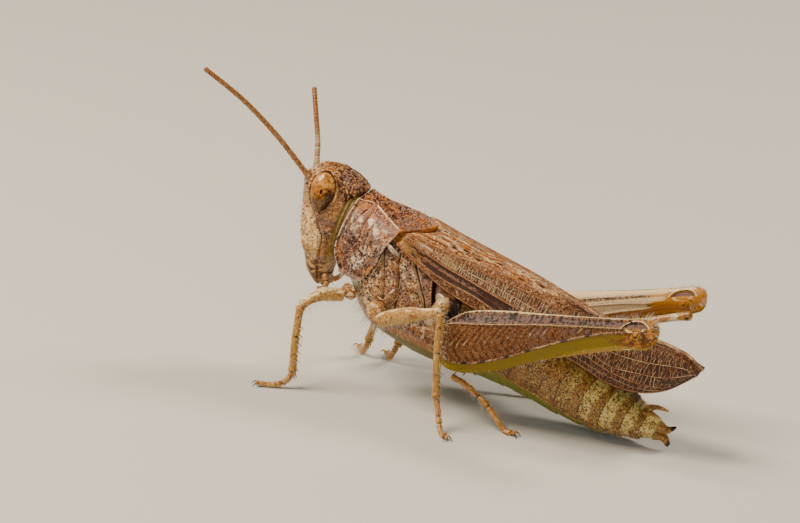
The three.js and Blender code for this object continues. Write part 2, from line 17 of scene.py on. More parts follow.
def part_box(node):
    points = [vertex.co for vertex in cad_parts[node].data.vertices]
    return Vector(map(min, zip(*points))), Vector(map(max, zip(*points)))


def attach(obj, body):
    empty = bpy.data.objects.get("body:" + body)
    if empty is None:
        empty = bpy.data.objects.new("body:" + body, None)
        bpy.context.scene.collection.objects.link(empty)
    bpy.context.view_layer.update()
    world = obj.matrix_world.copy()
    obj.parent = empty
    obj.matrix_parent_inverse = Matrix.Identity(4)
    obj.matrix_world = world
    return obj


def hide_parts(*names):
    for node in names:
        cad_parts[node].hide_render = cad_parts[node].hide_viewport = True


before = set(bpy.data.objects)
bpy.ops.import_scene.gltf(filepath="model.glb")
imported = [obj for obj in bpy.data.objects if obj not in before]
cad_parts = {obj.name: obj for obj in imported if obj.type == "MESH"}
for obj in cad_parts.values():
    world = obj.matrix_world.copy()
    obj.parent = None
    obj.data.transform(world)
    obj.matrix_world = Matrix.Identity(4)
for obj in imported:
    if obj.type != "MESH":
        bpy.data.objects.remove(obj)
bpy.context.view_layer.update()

bl_info = {
    "name": "Field grasshopper",
    "version": (1, 0, 0),
    "blender": (4, 5, 0),
    "location": "3D View > Sidebar > Grasshopper",
    "description": "Builds a life-size field grasshopper over its solid parts",
    "category": "Object",
}

MM = 0.001

# ---- the animal's shape ----

BODY_PITCH = math.radians(12.5)  # nose-up tilt of the body
COLLAR_HEIGHT = 9.79  # height of the pronotum's front edge above the floor
COLLAR_Y = -1.957
PRONOTUM_LENGTH = 3.82
PRONOTUM_THICK = 0.24
DISC_HALF = 1.7
WING_TIP = 18.84
WING_PARTING = 0.04
WING_SKIN = 0.14  # thickness of a fore wing
EYE_A, EYE_H = -2.05, -0.8
EYE_LONG = 1.98
EYE_WIDE = 1.25
EYE_LEAN = math.radians(12)
EYE_BULGE = 0.47
EYE_EGG = 0.16
MOUTH_LEVEL = -4.15
JAW_LEVEL = -5.66
MOUTH_SLANT = 0.12
WAIST_LEAN = 0.128  # slope of the seams of the side plates
ABDOMEN_START = 6.95
ABDOMEN_END = 17.15
ABDOMEN_CLOSED = 17.82  # where its skin closes behind the last ring
ABDOMEN_RINGS = 8
SEAM = 0.05

# The trunk's section along the body: place, top, underside, half width and widest height.
TRUNK = (
    (-0.35, -0.95, -3.7, 1.2, -2.4), (0.6, -0.68, -4.55, 1.42, -3.0), (1.5, -0.66, -5.55, 1.62, -3.5),
    (2.2, -0.7, -6.2, 1.9, -3.8), (3.4, -0.95, -6.5, 2.22, -3.9), (5.6, -1.5, -6.72, 2.28, -3.9),
    (8.0, -1.68, -6.5, 2.08, -4.1), (10.1, -2.0, -6.32, 2.05, -4.3), (13.0, -2.95, -6.42, 1.92, -4.75),
    (15.2, -3.55, -6.36, 1.65, -5.0), (16.6, -4.05, -6.0, 1.22, -5.05), (17.9, -4.6, -5.5, 0.6, -5.1),
)
TOP, UNDER, TRUNK_HALF, BELT = 1, 2, 3, 4
TRUNK_SQUARE = 2 / 2.2

# The head's level sections from the jaws up: height, front, back, widest place and half width.
HEAD = (
    (-5.72, -1.0, -0.5, -0.8, 0.5), (-5.45, -1.3, -0.42, -0.9, 0.86), (-4.9, -1.76, -0.45, -1.1, 1.14),
    (-4.1, -2.25, -0.5, -1.25, 1.38), (-3.2, -2.68, -0.52, -1.3, 1.5), (-2.4, -2.94, -0.52, -1.3, 1.44),
    (-1.8, -3.11, -0.52, -1.4, 1.28), (-1.2, -3.28, -0.5, -1.4, 1.12), (-0.67, -3.39, -0.47, -1.4, 1.02),
    (-0.05, -3.07, -0.12, -1.4, 0.9), (0.25, -2.65, -0.6, -1.4, 0.68), (0.4, -2.15, -1.0, -1.5, 0.4),
)
FRONT, BACK, WIDE, HEAD_HALF = 1, 2, 3, 4
HEAD_SQUARE = 2 / 2.25
CROWN = 0.4

SIDES = (("left", 1), ("right", -1))
DEEPENING = (1.36, 1.36, 1.4)  # how much deeper pigments are, by channel, than they look in strong light
PATH_ROWS = 200  # points that a limb's path is divided into
TIP_CLOSING = 0.998  # how far a rounded end closes


def linear(code):
    """An sRGB hex colour as linear red, green, blue and alpha."""
    channels = [int(code[k : k + 2], 16) / 255 for k in (1, 3, 5)]
    return tuple(c / 12.92 if c <= 0.04045 else ((c + 0.055) / 1.055) ** 2.4 for c in channels) + (1.0,)


def pigment(colour):
    """A deep, saturated body colour: light bleaches a hex code back to about what it says.

    A colour that a user can change is deep already, and only gets its alpha.
    """
    if not isinstance(colour, str):
        return colour[:] + (1.0,)
    return tuple(c**power for c, power in zip(linear(colour), DEEPENING)) + (1.0,)


# ---- curves, fields and noise ----


def through(pairs, at):
    """Smooth curve through (place, value) pairs, flat beyond its ends. Values may be arrays."""
    at = np.asarray(at, float)
    places = np.array([place for place, _ in pairs], float)
    values = np.stack([np.broadcast_to(np.asarray(value, float), at.shape) for _, value in pairs])
    last = len(places) - 1
    at = np.clip(at, places[0], places[-1])
    index = np.clip(np.searchsorted(places, at, side="right") - 1, 0, last - 1)
    before = np.maximum(np.arange(last + 1) - 1, 0)
    after = np.minimum(np.arange(last + 1) + 1, last)
    run = (places[after] - places[before]).reshape((-1,) + (1,) * at.ndim)
    slopes = (values[after] - values[before]) / run
    span = places[index + 1] - places[index]
    t = (at - places[index]) / span
    low, high = (np.take_along_axis(values, k[None], 0)[0] for k in (index, index + 1))
    rise, fall = (np.take_along_axis(slopes, k[None], 0)[0] for k in (index, index + 1))
    return (
        (2 * t**3 - 3 * t**2 + 1) * low
        + (t**3 - 2 * t**2 + t) * span * rise
        + (3 * t**2 - 2 * t**3) * high
        + (t**3 - t**2) * span * fall
    )


def station(table, field, at):
    """One field of a station table at a place along it."""
    return through([(row[0], row[field]) for row in table], at)


def mix(low, high, t):
    return low + (high - low) * t


def ease(low, high, value):
    """0 at low, 1 at high and smooth between; low may be the greater."""
    t = np.clip((value - low) / (high - low), 0, 1)
    return t * t * (3 - 2 * t)


def glow(distance, width):
    """1 on a line or spot, fading to 0 a width or two away."""
    return np.exp(-((distance / width) ** 2))


def most(fields):
    """The greatest of a list of fields at each point; a lone field stays as it is."""
    return functools.reduce(np.maximum, fields) if isinstance(fields, list) else fields


def trace(px, py, line, width):
    """1 along a polyline, fading to 0 beside it."""
    return glow(off_line(px, py, line), width)


def soften(value, power):
    return np.sign(value) * np.abs(value) ** power


def off_line(px, py, line):
    """Distance of each point from a polyline."""
    best = np.full(np.broadcast(px, py).shape, np.inf)
    for (x0, y0), (x1, y1) in zip(line, line[1:]):
        dx, dy = x1 - x0, y1 - y0
        t = np.clip(((px - x0) * dx + (py - y0) * dy) / (dx * dx + dy * dy), 0, 1)
        best = np.minimum(best, np.hypot(px - x0 - t * dx, py - y0 - t * dy))
    return best


def spot(px, py, x, y, wide, tall):
    """A soft oval spot."""
    return glow(np.hypot((px - x) / wide, (py - y) / tall), 1.0)


def lumps(u, v, size, seed):
    """A smooth random field from 0 to 1 with lumps of about this size."""
    table = np.random.default_rng(seed).random((64, 64))
    u, v = np.asarray(u, float) / size, np.asarray(v, float) / size
    x = 0.8 * u + 0.6 * v + 0.35 * np.sin(1.7 * v)
    y = 0.8 * v - 0.6 * u + 0.35 * np.sin(1.7 * u)
    i, j = np.floor(x).astype(int), np.floor(y).astype(int)
    fx, fy = ease(0, 1, x - i), ease(0, 1, y - j)
    corner = [[table[(i + di) % 64, (j + dj) % 64] for dj in (0, 1)] for di in (0, 1)]
    return mix(mix(corner[0][0], corner[1][0], fx), mix(corner[0][1], corner[1][1], fx), fy)


def blotches(u, v, size, seed, cut=0.55):
    """Patches with soft edges, about this size, covering less as cut rises."""
    field = 0.65 * lumps(u, v, size, seed) + 0.35 * lumps(v, u, size / 2.3, seed + 1)
    return ease(cut - 0.1, cut + 0.1, field)


def stacked(x, y, z):
    return np.stack(np.broadcast_arrays(x, y, z), -1).astype(float)


def unit(vectors):
    return vectors / np.maximum(np.linalg.norm(vectors, axis=-1, keepdims=True), 1e-9)


def turns(count):
    """The angles round a ring of points, as one row."""
    return np.linspace(0, 2 * np.pi, count, endpoint=False)[None, :]


# ---- places ----


def stand_up(a, h):
    """The standing y and z of a place in the body frame."""
    y = COLLAR_Y + a * math.cos(BODY_PITCH) + h * math.sin(BODY_PITCH)
    return y, COLLAR_HEIGHT - a * math.sin(BODY_PITCH) + h * math.cos(BODY_PITCH)


def keel_height(a):
    return through([(-0.1, -0.06), (0, -0.05), (1.35, -0.22), (2.75, -0.22), (3.9, -0.36)], a)


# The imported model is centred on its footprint: the pronotum's middle and hind tip give the shift.
_low, _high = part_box("pronotum")
_hind_tip, _ = stand_up(PRONOTUM_LENGTH, float(keel_height(PRONOTUM_LENGTH)))
SHIFT = np.array([(_low.x + _high.x) / 2 / MM, _high.y / MM - _hind_tip, 0.0])


def in_body(x, a, h):
    """Points of the frame from places in the body frame."""
    y, z = stand_up(np.asarray(a, float), np.asarray(h, float))
    return stacked(x, y, z) + SHIFT


def body_path(sign, stops):
    """Stops in the body frame, on the left side or mirrored to the right."""
    return [in_body(sign * x, a, h) for x, a, h in stops]


def outward(points, closed=True):
    """Unit normals of a grid of points, away from its middle."""
    around = np.roll(points, -1, 1) - np.roll(points, 1, 1) if closed else np.gradient(points, axis=1)
    normal = unit(np.cross(around, np.gradient(points, axis=0)))
    middle = points.mean(axis=1 if closed else (0, 1), keepdims=True)
    return normal * (1 if (normal * (points - middle)).sum() > 0 else -1)


def raised(points, lift):
    """A grid moved out along its normals by lift, and those normals."""
    normals = outward(points)
    return points + normals * lift[..., None], normals


def smooth_path(stops):
    """Evenly spaced points on a smooth curve through the stops."""
    stops = np.array(stops, float)
    knots = np.concatenate([[0], np.cumsum(np.linalg.norm(np.diff(stops, axis=0), axis=1) ** 0.5)])
    fine = np.linspace(0, knots[-1], 240)
    dense = np.stack([through(list(zip(knots, stops[:, k])), fine) for k in range(3)], -1)
    run = np.concatenate([[0], np.cumsum(np.linalg.norm(np.diff(dense, axis=0), axis=1))])
    at = np.linspace(0, run[-1], PATH_ROWS)
    return np.stack([np.interp(at, run, dense[:, k]) for k in range(3)], -1)


def domed(t, start, end):
    """How wide a tube stands at t, its ends rounded off over these shares of its length."""
    edge = np.minimum(1, np.minimum(t / start, (1 - t) / end))
    return np.sqrt(1 - TIP_CLOSING * (1 - edge) ** 2)


def limb(stops, size, rows=60, sides=24, across=(1, 0, 0), dome=0.04):
    """A tube along a path, its ends domed: size(t) gives the half width across and the half depth.

    Returns the grid, and the share along and the angle round of each point.
    """
    cap = dome * np.linspace(0, 1, 7) ** 2
    t = np.unique(np.concatenate([np.linspace(0, 1, rows), cap, 1 - cap]))
    path = smooth_path(stops)
    share = np.linspace(0, 1, PATH_ROWS)
    centre, along = (
        np.stack([np.interp(t, share, line[:, k]) for k in range(3)], -1)
        for line in (path, np.gradient(path, axis=0))
    )
    along = unit(along)
    across = np.broadcast_to(np.array(across, float), along.shape)
    sideways = unit(across - along * (across * along).sum(1, keepdims=True))
    deep = np.cross(along, sideways)
    wide, tall = (np.broadcast_to(v, t.shape) * domed(t, dome, dome) for v in size(t))
    angle = turns(sides)
    points = centre[:, None] + sideways[:, None] * (wide[:, None] * np.cos(angle))[..., None]
    points = points + deep[:, None] * (tall[:, None] * np.sin(angle))[..., None]
    return points, *np.broadcast_arrays(t[:, None], angle)


def rings_at(t, centres, width):
    """A soft ring round a limb at each of the centres."""
    return sum(glow(t - centre, width) for centre in centres)


def knobs(t, centres, swell, width):
    """1, raised by swell around each centre."""
    return 1 + swell * rings_at(t, centres, width)


# ---- meshes ----

MARKS = ("speck", "warm", "cool", "green", "pale", "dark", "fleck")
USUAL = {"speck": 0.5}  # marks that a piece has where it names none
PATCH = 0.003  # size of one hair's patch on the baking map
BAR_UP = (0.1, 0.2, 1.0)  # a direction that no thin tube runs along


def walls(index):
    """Four-cornered faces between neighbouring rings of points."""
    near, far = index[..., :-1, :], index[..., 1:, :]
    return np.stack([near, np.roll(near, -1, -1), np.roll(far, -1, -1), far], -1).reshape(-1, 4)


def spread(marks, size, lay):
    """Every mark as one value for each point: lay puts a full grid of it in the points' order."""
    return {name: lay(np.broadcast_to(most(value), size)) for name, value in marks.items()}


class Shape:
    """Points, faces and marks gathered in millimetres, then made into one mesh object."""

    def __init__(self):
        self.points = []
        self.faces = []
        self.marks = {name: [] for name in MARKS}
        self.patches = []
        self.total = 0

    def add(self, points, faces, marks):
        """Adds closed bodies that all wind the same way, turned to face outwards."""
        volume = 0.0
        for group in faces:
            for k in range(1, group.shape[1] - 1):
                corners = points[group[:, (0, k, k + 1)]]
                volume += np.einsum("ij,ij->", corners[:, 0], np.cross(corners[:, 1], corners[:, 2]))
        for group in faces:
            self.faces.append((group if volume > 0 else group[:, ::-1]) + self.total)
        self.points.append(points)
        for name in MARKS:
            value = marks.get(name, USUAL.get(name, 0.0))
            self.marks[name].append(np.broadcast_to(value, len(points)).astype(float))
        self.total += len(points)
        return self

    def tube(self, points, **marks):
        """Rows of rings, closed by a fan at each end."""
        rows, sides = points.shape[:2]
        index = np.arange(rows * sides).reshape(rows, sides)
        fans = []
        for ring, hub, turn in ((index[0], rows * sides, -1), (index[-1], rows * sides + 1, 1)):
            fans.append(np.stack([ring, np.roll(ring, -1), np.full(sides, hub)], -1)[:, ::turn])
        points = np.concatenate([points.reshape(-1, 3), points[[0, -1]].mean(1)])
        marks = spread(marks, (rows, sides), lambda at: np.concatenate([at.ravel(), at[[0, -1]].mean(1)]))
        return self.add(points, [walls(index), np.concatenate(fans)], marks)

    def plate(self, outer, inner, **marks):
        """A thin sheet between two grids, its edges closed."""
        rows, cols = outer.shape[:2]
        points = np.concatenate([outer, inner[:, ::-1]], 1)
        index = np.arange(rows * cols * 2).reshape(rows, cols * 2)
        quads = [walls(index)]
        for ring, turn in ((index[0], -1), (index[-1], 1)):
            top, back = ring[:cols], ring[cols:][::-1]
            quads.append(np.stack([top[:-1], top[1:], back[1:], back[:-1]], -1)[:, ::turn])
        marks = spread(marks, (rows, cols), lambda at: np.concatenate([at, at[:, ::-1]], 1).ravel())
        return self.add(points.reshape(-1, 3), [np.concatenate(quads)], marks)

    def bars(self, centres, radii, sides=5, roots=None, **marks):
        """Many thin tubes at once: centres is (count, rows, 3) and radii is (count, rows)."""
        count, rows = centres.shape[:2]
        radii = np.broadcast_to(radii, (count, rows))
        along = unit(np.gradient(centres, axis=1))
        first = unit(np.cross(along, BAR_UP))
        second = np.cross(along, first)
        angle = turns(sides)[0]
        spokes = first[:, :, None] * np.cos(angle)[:, None] + second[:, :, None] * np.sin(angle)[:, None]
        points = centres[:, :, None] + spokes * radii[:, :, None, None]
        index = np.arange(count * rows * sides).reshape(count, rows, sides)
        marks = spread(marks, (count, rows), lambda at: np.repeat(at[..., None], sides, -1).ravel())
        if roots is not None:
            step = np.linspace(0, PATCH, rows)[None, :, None]
            turn = np.linspace(0, PATCH, sides)[None, None, :]
            u, v = roots[:, 0, None, None] + step, roots[:, 1, None, None] + turn
            self.patches.append(np.stack(np.broadcast_arrays(u, v), -1).reshape(-1, 2))
        return self.add(points.reshape(-1, 3), [walls(index), index[:, 0, ::-1], index[:, -1]], marks)

    def finish(self, name, material, slot, replaces=()):
        """Makes the mesh object, which rides on the still body."""
        points = np.concatenate(self.points) * MM
        mesh = bpy.data.meshes.new(name)
        mesh.vertices.add(len(points))
        mesh.vertices.foreach_set("co", points.ravel())
        sizes = np.concatenate([np.full(len(group), group.shape[1]) for group in self.faces])
        loops = np.concatenate([group.ravel() for group in self.faces])
        mesh.loops.add(len(loops))
        mesh.loops.foreach_set("vertex_index", loops)
        mesh.polygons.add(len(sizes))
        mesh.polygons.foreach_set("loop_start", np.concatenate([[0], np.cumsum(sizes)[:-1]]))
        mesh.polygons.foreach_set("use_smooth", np.ones(len(sizes), bool))
        for mark, values in self.marks.items():
            layer = mesh.attributes.new(mark, "FLOAT", "POINT")
            layer.data.foreach_set("value", np.clip(np.concatenate(values), 0, 1))
        if self.patches:
            layer = mesh.uv_layers.new(name="OFBake")
            layer.data.foreach_set("uv", np.concatenate(self.patches)[loops].ravel())
        mesh.update(calc_edges=True)
        mesh.materials.append(material)
        piece = bpy.data.objects.new(name, mesh)
        bpy.context.scene.collection.objects.link(piece)
        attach(piece, "root")
        if replaces:
            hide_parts(*replaces)


# ---- materials ----


def node(tree, kind, inputs=None, **settings):
    """Adds one shader node with its settings; an input is a value, a socket or a node's first output."""
    made = tree.nodes.new("ShaderNode" + kind)
    for key, value in settings.items():
        setattr(made, key, value)
    for socket, value in (inputs or {}).items():
        if isinstance(value, bpy.types.Node):
            value = value.outputs[0]
        if isinstance(value, bpy.types.NodeSocket):
            tree.links.new(value, made.inputs[socket])
        else:
            made.inputs[socket].default_value = value
    return made


def cuticle(
    name, ground, second, tints, mottle=0.09, grain=0.07, pit=0.15, ragged=0.6, rough=0.45, relief=0.02,
    coat=0.0, coat_rough=0.18, shine=0.5, depth=0.0,
):
    """Insect cuticle: a hard waxy skin, mottled, with marks laid in it: pigment, and on some pieces painted
    light and shade.

    It gives the eye a satin surface broken up by blotches, fine grain and dark pits, its marks
    ragged at the edge. mottle, grain and pit are the sizes of these in millimetres; a real skin's
    finest grain is a tenth of this and is drawn coarser, so that it shows.
    """
    material = bpy.data.materials.new(name)
    material.use_nodes = True
    tree = material.node_tree
    tree.nodes.clear()
    colour = pigment(ground)
    tints = {mark: pigment(code) for mark, code in tints.items()}
    light = tuple(0.45 * g + 0.55 * p for g, p in zip(colour, tints["pale"]))
    place = node(tree, "TexCoord").outputs["Object"]
    blotch, fine = (
        node(tree, "TexNoise", {"Vector": place, "Scale": 1 / (size * MM), "Detail": 3.0, "Roughness": 0.62})
        for size in (mottle, grain)
    )
    amount = node(tree, "Attribute", attribute_name="speck").outputs["Fac"]
    for tint, start, full in ((pigment(second), 0.49, 0.58), (light, 0.5, 0.4)):
        share = node(tree, "MapRange", {0: blotch, 1: start, 2: full}, interpolation_type="SMOOTHSTEP")
        share = node(tree, "Math", {0: share, 1: amount}, operation="MULTIPLY")
        colour = node(tree, "Mix", {0: share, 6: colour, 7: tint}, data_type="RGBA").outputs[2]
    shade = node(tree, "MapRange", {0: fine, 1: 0.3, 2: 0.7, 3: 0.64, 4: 1.34})
    colour = node(tree, "HueSaturation", {"Color": colour, "Value": shade})
    for mark, tint in tints.items():
        amount = node(tree, "Attribute", attribute_name=mark).outputs["Fac"]
        torn = node(tree, "Math", {0: fine, 1: ragged, 2: amount}, operation="MULTIPLY_ADD")
        limits = {0: torn, 1: 0.5 * ragged + 0.28, 2: 0.5 * ragged + 0.72}
        share = node(tree, "MapRange", limits, interpolation_type="SMOOTHSTEP")
        colour = node(tree, "Mix", {0: share, 6: colour, 7: tint}, data_type="RGBA").outputs[2]
    # Pits lie at the middle of some cells, the larger where the fleck mark is strong.
    cells = node(tree, "TexVoronoi", {"Vector": place, "Scale": 1 / (pit * MM)})
    amount = node(tree, "Attribute", attribute_name="fleck").outputs["Fac"]
    some = node(tree, "SeparateColor", {0: cells.outputs["Color"]})
    some = node(tree, "MapRange", {0: some, 1: 0.15, 2: 1.0, 3: 0.4, 4: 1.0})
    reach = node(tree, "Math", {0: amount, 1: some}, operation="MULTIPLY")
    inside = node(tree, "Math", {0: reach, 1: 0.6}, operation="MULTIPLY")
    inside = node(tree, "Math", {0: inside, 1: cells}, operation="SUBTRACT")
    hole = node(tree, "MapRange", {0: inside, 1: 0.0, 2: 0.12})
    colour = node(tree, "Mix", {0: hole, 6: colour, 7: tints["dark"]}, data_type="RGBA").outputs[2]
    height = node(tree, "Math", {0: hole, 1: -1.0, 2: fine}, operation="MULTIPLY_ADD")
    bump = node(tree, "Bump", {"Height": height, "Distance": relief * MM, "Strength": 1.0})
    dull = node(tree, "MapRange", {0: fine, 1: 0.25, 2: 0.75, 3: rough - 0.1, 4: rough + 0.14})
    shader = node(tree, "BsdfPrincipled", {
        "Base Color": colour,
        "Roughness": dull,
        "Normal": bump,
        "Coat Weight": coat,
        "Coat Roughness": coat_rough,
        "Specular IOR Level": shine,
        "Subsurface Weight": depth,
        "Subsurface Radius": (1.0, 0.55, 0.25),
        "Subsurface Scale": 0.25 * MM,
    })
    node(tree, "OutputMaterial", {"Surface": shader})
    return material


# ---- head ----

# Lines on the head's side as (a, h): the furrow below the eye, the dark line behind it, the green
# band down the cheek and the pale rim round the back of the eye.
FURROW = ((-2.05, -1.82), (-1.75, -2.37), (-1.24, -2.87), (-1.1, -3.41), (-1.0, -4.2))
CHEEK_LINE = ((-1.33, -0.63), (-1.05, -0.72), (-0.79, -0.81), (-0.55, -1.1))
CHEEK_BAND = ((-0.6, -1.5), (-0.72, -2.52), (-0.71, -3.28), (-0.6, -4.02), (-0.67, -4.4))
EYE_RIM = ((-2.6, 0.05), (-2.11, 0.2), (-1.73, 0.02), (-1.4, -0.43), (-1.36, -0.95), (-1.6, -1.5))


def head_section(level, angle, slant, inset=0.0, shrink=1.0):
    """x, a and h round level cuts of the head; a slanting cut rises towards the face."""
    side, fore = soften(np.cos(angle), HEAD_SQUARE), soften(np.sin(angle), HEAD_SQUARE)
    h = level + 0 * angle
    for _ in range(4):
        wide = station(HEAD, WIDE, h)
        reach = np.where(fore > 0, station(HEAD, FRONT, h), station(HEAD, BACK, h))
        a = wide + (reach - wide) * np.abs(fore) * shrink
        h = level - slant * (a - wide)
    return side * (station(HEAD, HEAD_HALF, h) - inset) * shrink, a, h


def eye_share(a, h):
    """0 in the middle of the eye and 1 at its edge."""
    along = (-(a - EYE_A) * math.sin(EYE_LEAN) + (h - EYE_H) * math.cos(EYE_LEAN)) / (EYE_LONG / 2)
    across = ((a - EYE_A) * math.cos(EYE_LEAN) + (h - EYE_H) * math.sin(EYE_LEAN)) / (EYE_WIDE / 2)
    return np.hypot(along, across / (1 + EYE_EGG * np.clip(along, -1, 1)))


def eye_seat(h):
    """How far out the flat of the head carries the eye."""
    return 1.17 - 0.26 * (h - EYE_H)


def head_surface(rows=190, columns=320):
    """The head capsule with its ridges, as points, normals and the places they come from."""
    rise = np.concatenate([
        np.linspace(MOUTH_LEVEL + 0.02, -0.1, rows * 3 // 4),
        -0.1 + (CROWN + 0.1) * np.sin(np.linspace(0, math.pi / 2, rows // 5))[1:],
        np.full(12, CROWN),
    ])
    shrink = np.concatenate([np.ones(len(rise) - 12), np.linspace(1, 0.05, 13)[1:]])[:, None]
    angle = turns(columns)
    slant = MOUTH_SLANT * ease(-3.4, -4.1, rise)[:, None]
    x, a, h = head_section(rise[:, None], angle, slant, shrink=shrink)
    h = h + 0.07 * (1 - shrink**2)
    # The socket swells out round the eye to meet its edge.
    share = eye_share(a, h)
    flank = ease(0.45, 0.75, np.abs(x))
    target = np.maximum(np.abs(x), eye_seat(h) + 0.02)
    x = np.sign(x) * mix(np.abs(x), target, ease(1.55, 1.08, share) * flank)
    side = np.abs(x)
    face = ease(0.45, 0.8, np.sin(angle))
    costa = through([(-4.1, 0.5), (-3.0, 0.34), (-1.2, 0.27), (-0.3, 0.3), (0.3, 0.2)], h)
    ridge = through([(-4.1, 1.12), (-3.2, 0.98), (-2.0, 0.78), (-1.2, 0.62), (-0.6, 0.5)], h)
    furrow = off_line(a, h, FURROW)
    crown = ease(0.05, 0.2, h)
    lift = (
        0.07 * glow(side - costa, 0.06) * face * ease(0.3, 0.0, h)
        - 0.06 * glow(side, 0.6 * costa) * face * ease(0.2, -0.2, h)
        + 0.07 * glow(side - ridge, 0.07) * face * ease(-0.5, -0.9, h)
        - 0.09 * glow(furrow, 0.06) * flank + 0.03 * glow(furrow - 0.15, 0.08) * flank
        + (0.05 * glow(share - 1.16, 0.07) - 0.07 * glow(share - 1.04, 0.04)) * flank
        - 0.03 * trace(a, h, CHEEK_LINE, 0.05) * flank
        - 0.1 * spot(side, h, 0.6, -0.45, 0.24, 0.24) * face
        + 0.05 * glow(np.hypot(side - 0.6, h + 0.45) - 0.3, 0.05) * face
        + 0.04 * glow(side - 0.45 * ease(-3.3, -1.9, a), 0.05) * crown * ease(-1.3, -2.0, a)
        + 0.03 * (lumps(a * 3 + side, h, 0.25, 5) - 0.5) * (1 - face * 0.4)
    )
    return *raised(in_body(x, a, h), lift), x, a, h, share, face, flank, furrow, costa, ridge


def build_head(colours, sizes):
    points, _, x, a, h, share, face, flank, furrow, costa, ridge = head_surface()
    side = np.abs(x)
    edge_a, edge_h = zip(*FURROW[::-1])
    edge = np.interp(h, edge_h, edge_a)
    before = ease(0.06, -0.06, a - edge) * ease(-0.5, -2.3, h + 0.9 * (lumps(x, h, 0.22, 27) - 0.5))
    brow = ease(-2.55, -2.75, a) * ease(-2.3, -0.9, h)
    vertex = ease(-0.95, -0.7, h + 0.4 * (a + 1.33)) * ease(1.03, 1.09, share) * ease(-2.75, -2.4, a)
    gena = ease(-1.7, -2.1, h) * (1 - before) * flank
    behind = ease(-2.3, -2.0, a) * ease(1.05, 1.12, share)
    band = trace(a, h, CHEEK_BAND, 0.13) * flank
    round_top = side - h
    marks = {
        "speck": 0.75 + 0.25 * vertex - 0.4 * band,
        "warm": [
            0.65 * brow * blotches(a + x, h, 0.16, 3, 0.42),
            0.8 * ease(-1.7, -2.3, a) * ease(0.0, 0.2, h) * blotches(a, x, 0.2, 31, 0.35),
            0.4 * blotches(a, round_top, 0.12, 9, 0.6),
            0.5 * glow(furrow + 0.02, 0.1) * ease(-2.2, -2.6, h) * flank,
        ],
        "cool": [
            0.75 * gena * blotches(a, h, 0.3, 21, 0.4) * (1 - band),
            # Mauve just outside the eye's rear lower edge is painted shade under the bulging eye.
            0.7 * glow(share - 1.13, 0.09) * ease(-0.9, -1.3, h) * ease(-2.3, -1.9, a),
            0.7 * ease(-0.3, 0.0, h) * ease(-2.1, -1.3, a) * blotches(a, round_top, 0.16, 22, 0.4),
            0.6 * (before + brow) * face * blotches(h, x, 0.13, 23, 0.5),
            0.6 * ease(-3.6, -4.0, h) * blotches(h, a, 0.14, 26, 0.45),
        ],
        "green": [
            band * ease(-0.9, -1.5, h),
            0.75 * before * glow(furrow - 0.4, 0.3) * blotches(h, a, 0.2, 24, 0.42),
            0.5 * before * blotches(h, a, 0.16, 32, 0.55),
            0.4 * glow(share - 1.1, 0.08) * ease(-2.2, -2.5, a),
        ],
        "pale": [
            0.66 * before * ease(-3.9, -3.5, h) * (0.45 + 0.55 * blotches(h, a + x, 0.11, 25, 0.45)),
            0.6 * brow * blotches(h * 0.6, x, 0.1, 33, 0.5),
            0.5 * before * glow(furrow - 0.12, 0.1) * ease(-3.9, -3.5, h),
            0.95 * trace(a, h, EYE_RIM, 0.05) * behind,
            0.6 * glow(side - costa, 0.04) * face * lumps(h, x, 0.2, 2),
            0.7 * glow(side - ridge, 0.05) * face * lumps(h, x, 0.3, 6),
            0.8 * glow(side, 0.16) * ease(0.2, 0.32, h) * ease(-2.5, -1.9, a) * lumps(a, side, 0.2, 7),
            0.8 * spot(a, h, -2.95, -0.05, 0.16, 0.14) * ease(0.2, 0.5, side),
            0.45 * blotches(a, round_top, 0.08, 28, 0.66),
        ],
        "dark": [
            0.7 * glow(furrow, 0.05) * flank * ease(-3.7, -3.2, h),
            0.6 * trace(a, h, CHEEK_LINE, 0.035) * flank * lumps(a, h, 0.2, 8),
            0.45 * glow(share - 1.05, 0.04) * flank * (1 - behind * ease(-1.0, -0.6, h)),
            0.75 * vertex * blotches(a, round_top, 0.08, 14, 0.5),
            0.6 * gena * blotches(h, a, 0.1, 15, 0.62) * (1 - band),
            0.6 * before * blotches(h, a + x, 0.09, 16, 0.66),
            0.75 * brow * blotches(h, a + x, 0.1, 34, 0.56),
        ],
        "fleck": 0.35 + 0.35 * before + 0.3 * gena + 0.25 * vertex + 0.3 * brow,
    }
    shell = cuticle(
        "Waxy head cuticle", colours.tan, "#7C5030",
        {"warm": "#B07A38", "cool": "#98786A", "green": "#B2984A", "pale": "#E9CC9C", "dark": "#4C2814"},
        mottle=0.085, pit=0.12, ragged=0.95, rough=0.42, depth=0.12,
    )
    Shape().tube(points, **marks).finish("head_capsule", shell, "head_shell", ["head"])


NECK_FROM, NECK_TO = -1.15, 0.5
NECK_FOLD = 0.23  # from one fold of the skin to the next
NECK_HALF, NECK_TALL, NECK_MIDDLE = 1.16, 1.78, -2.22


def build_neck(colours, sizes):
    """The soft folded skin that joins the head to the pronotum's collar."""
    a = np.linspace(NECK_FROM, NECK_TO, 90)[:, None]
    angle = turns(96)
    fold = 0.03 * np.cos(2 * np.pi * a / NECK_FOLD)
    x = (NECK_HALF + fold) * soften(np.cos(angle), TRUNK_SQUARE)
    h = NECK_MIDDLE + (NECK_TALL + fold) * soften(np.sin(angle), TRUNK_SQUARE)
    skin = cuticle(
        "Soft neck skin", "#9C8450", "#80683A",
        {"pale": "#C4AC74", "dark": "#4E361C"}, mottle=0.15, rough=0.5, depth=0.25,
    )
    # Painted shade darkens the troughs of the folds and a painted highlight lightens their crests.
    shape = Shape().tube(
        in_body(x, a, h), dark=0.6 * ease(-0.01, -0.03, fold), pale=0.4 * ease(0.0, 0.03, fold),
    )
    shape.finish("neck_skin", skin, "side_plates")


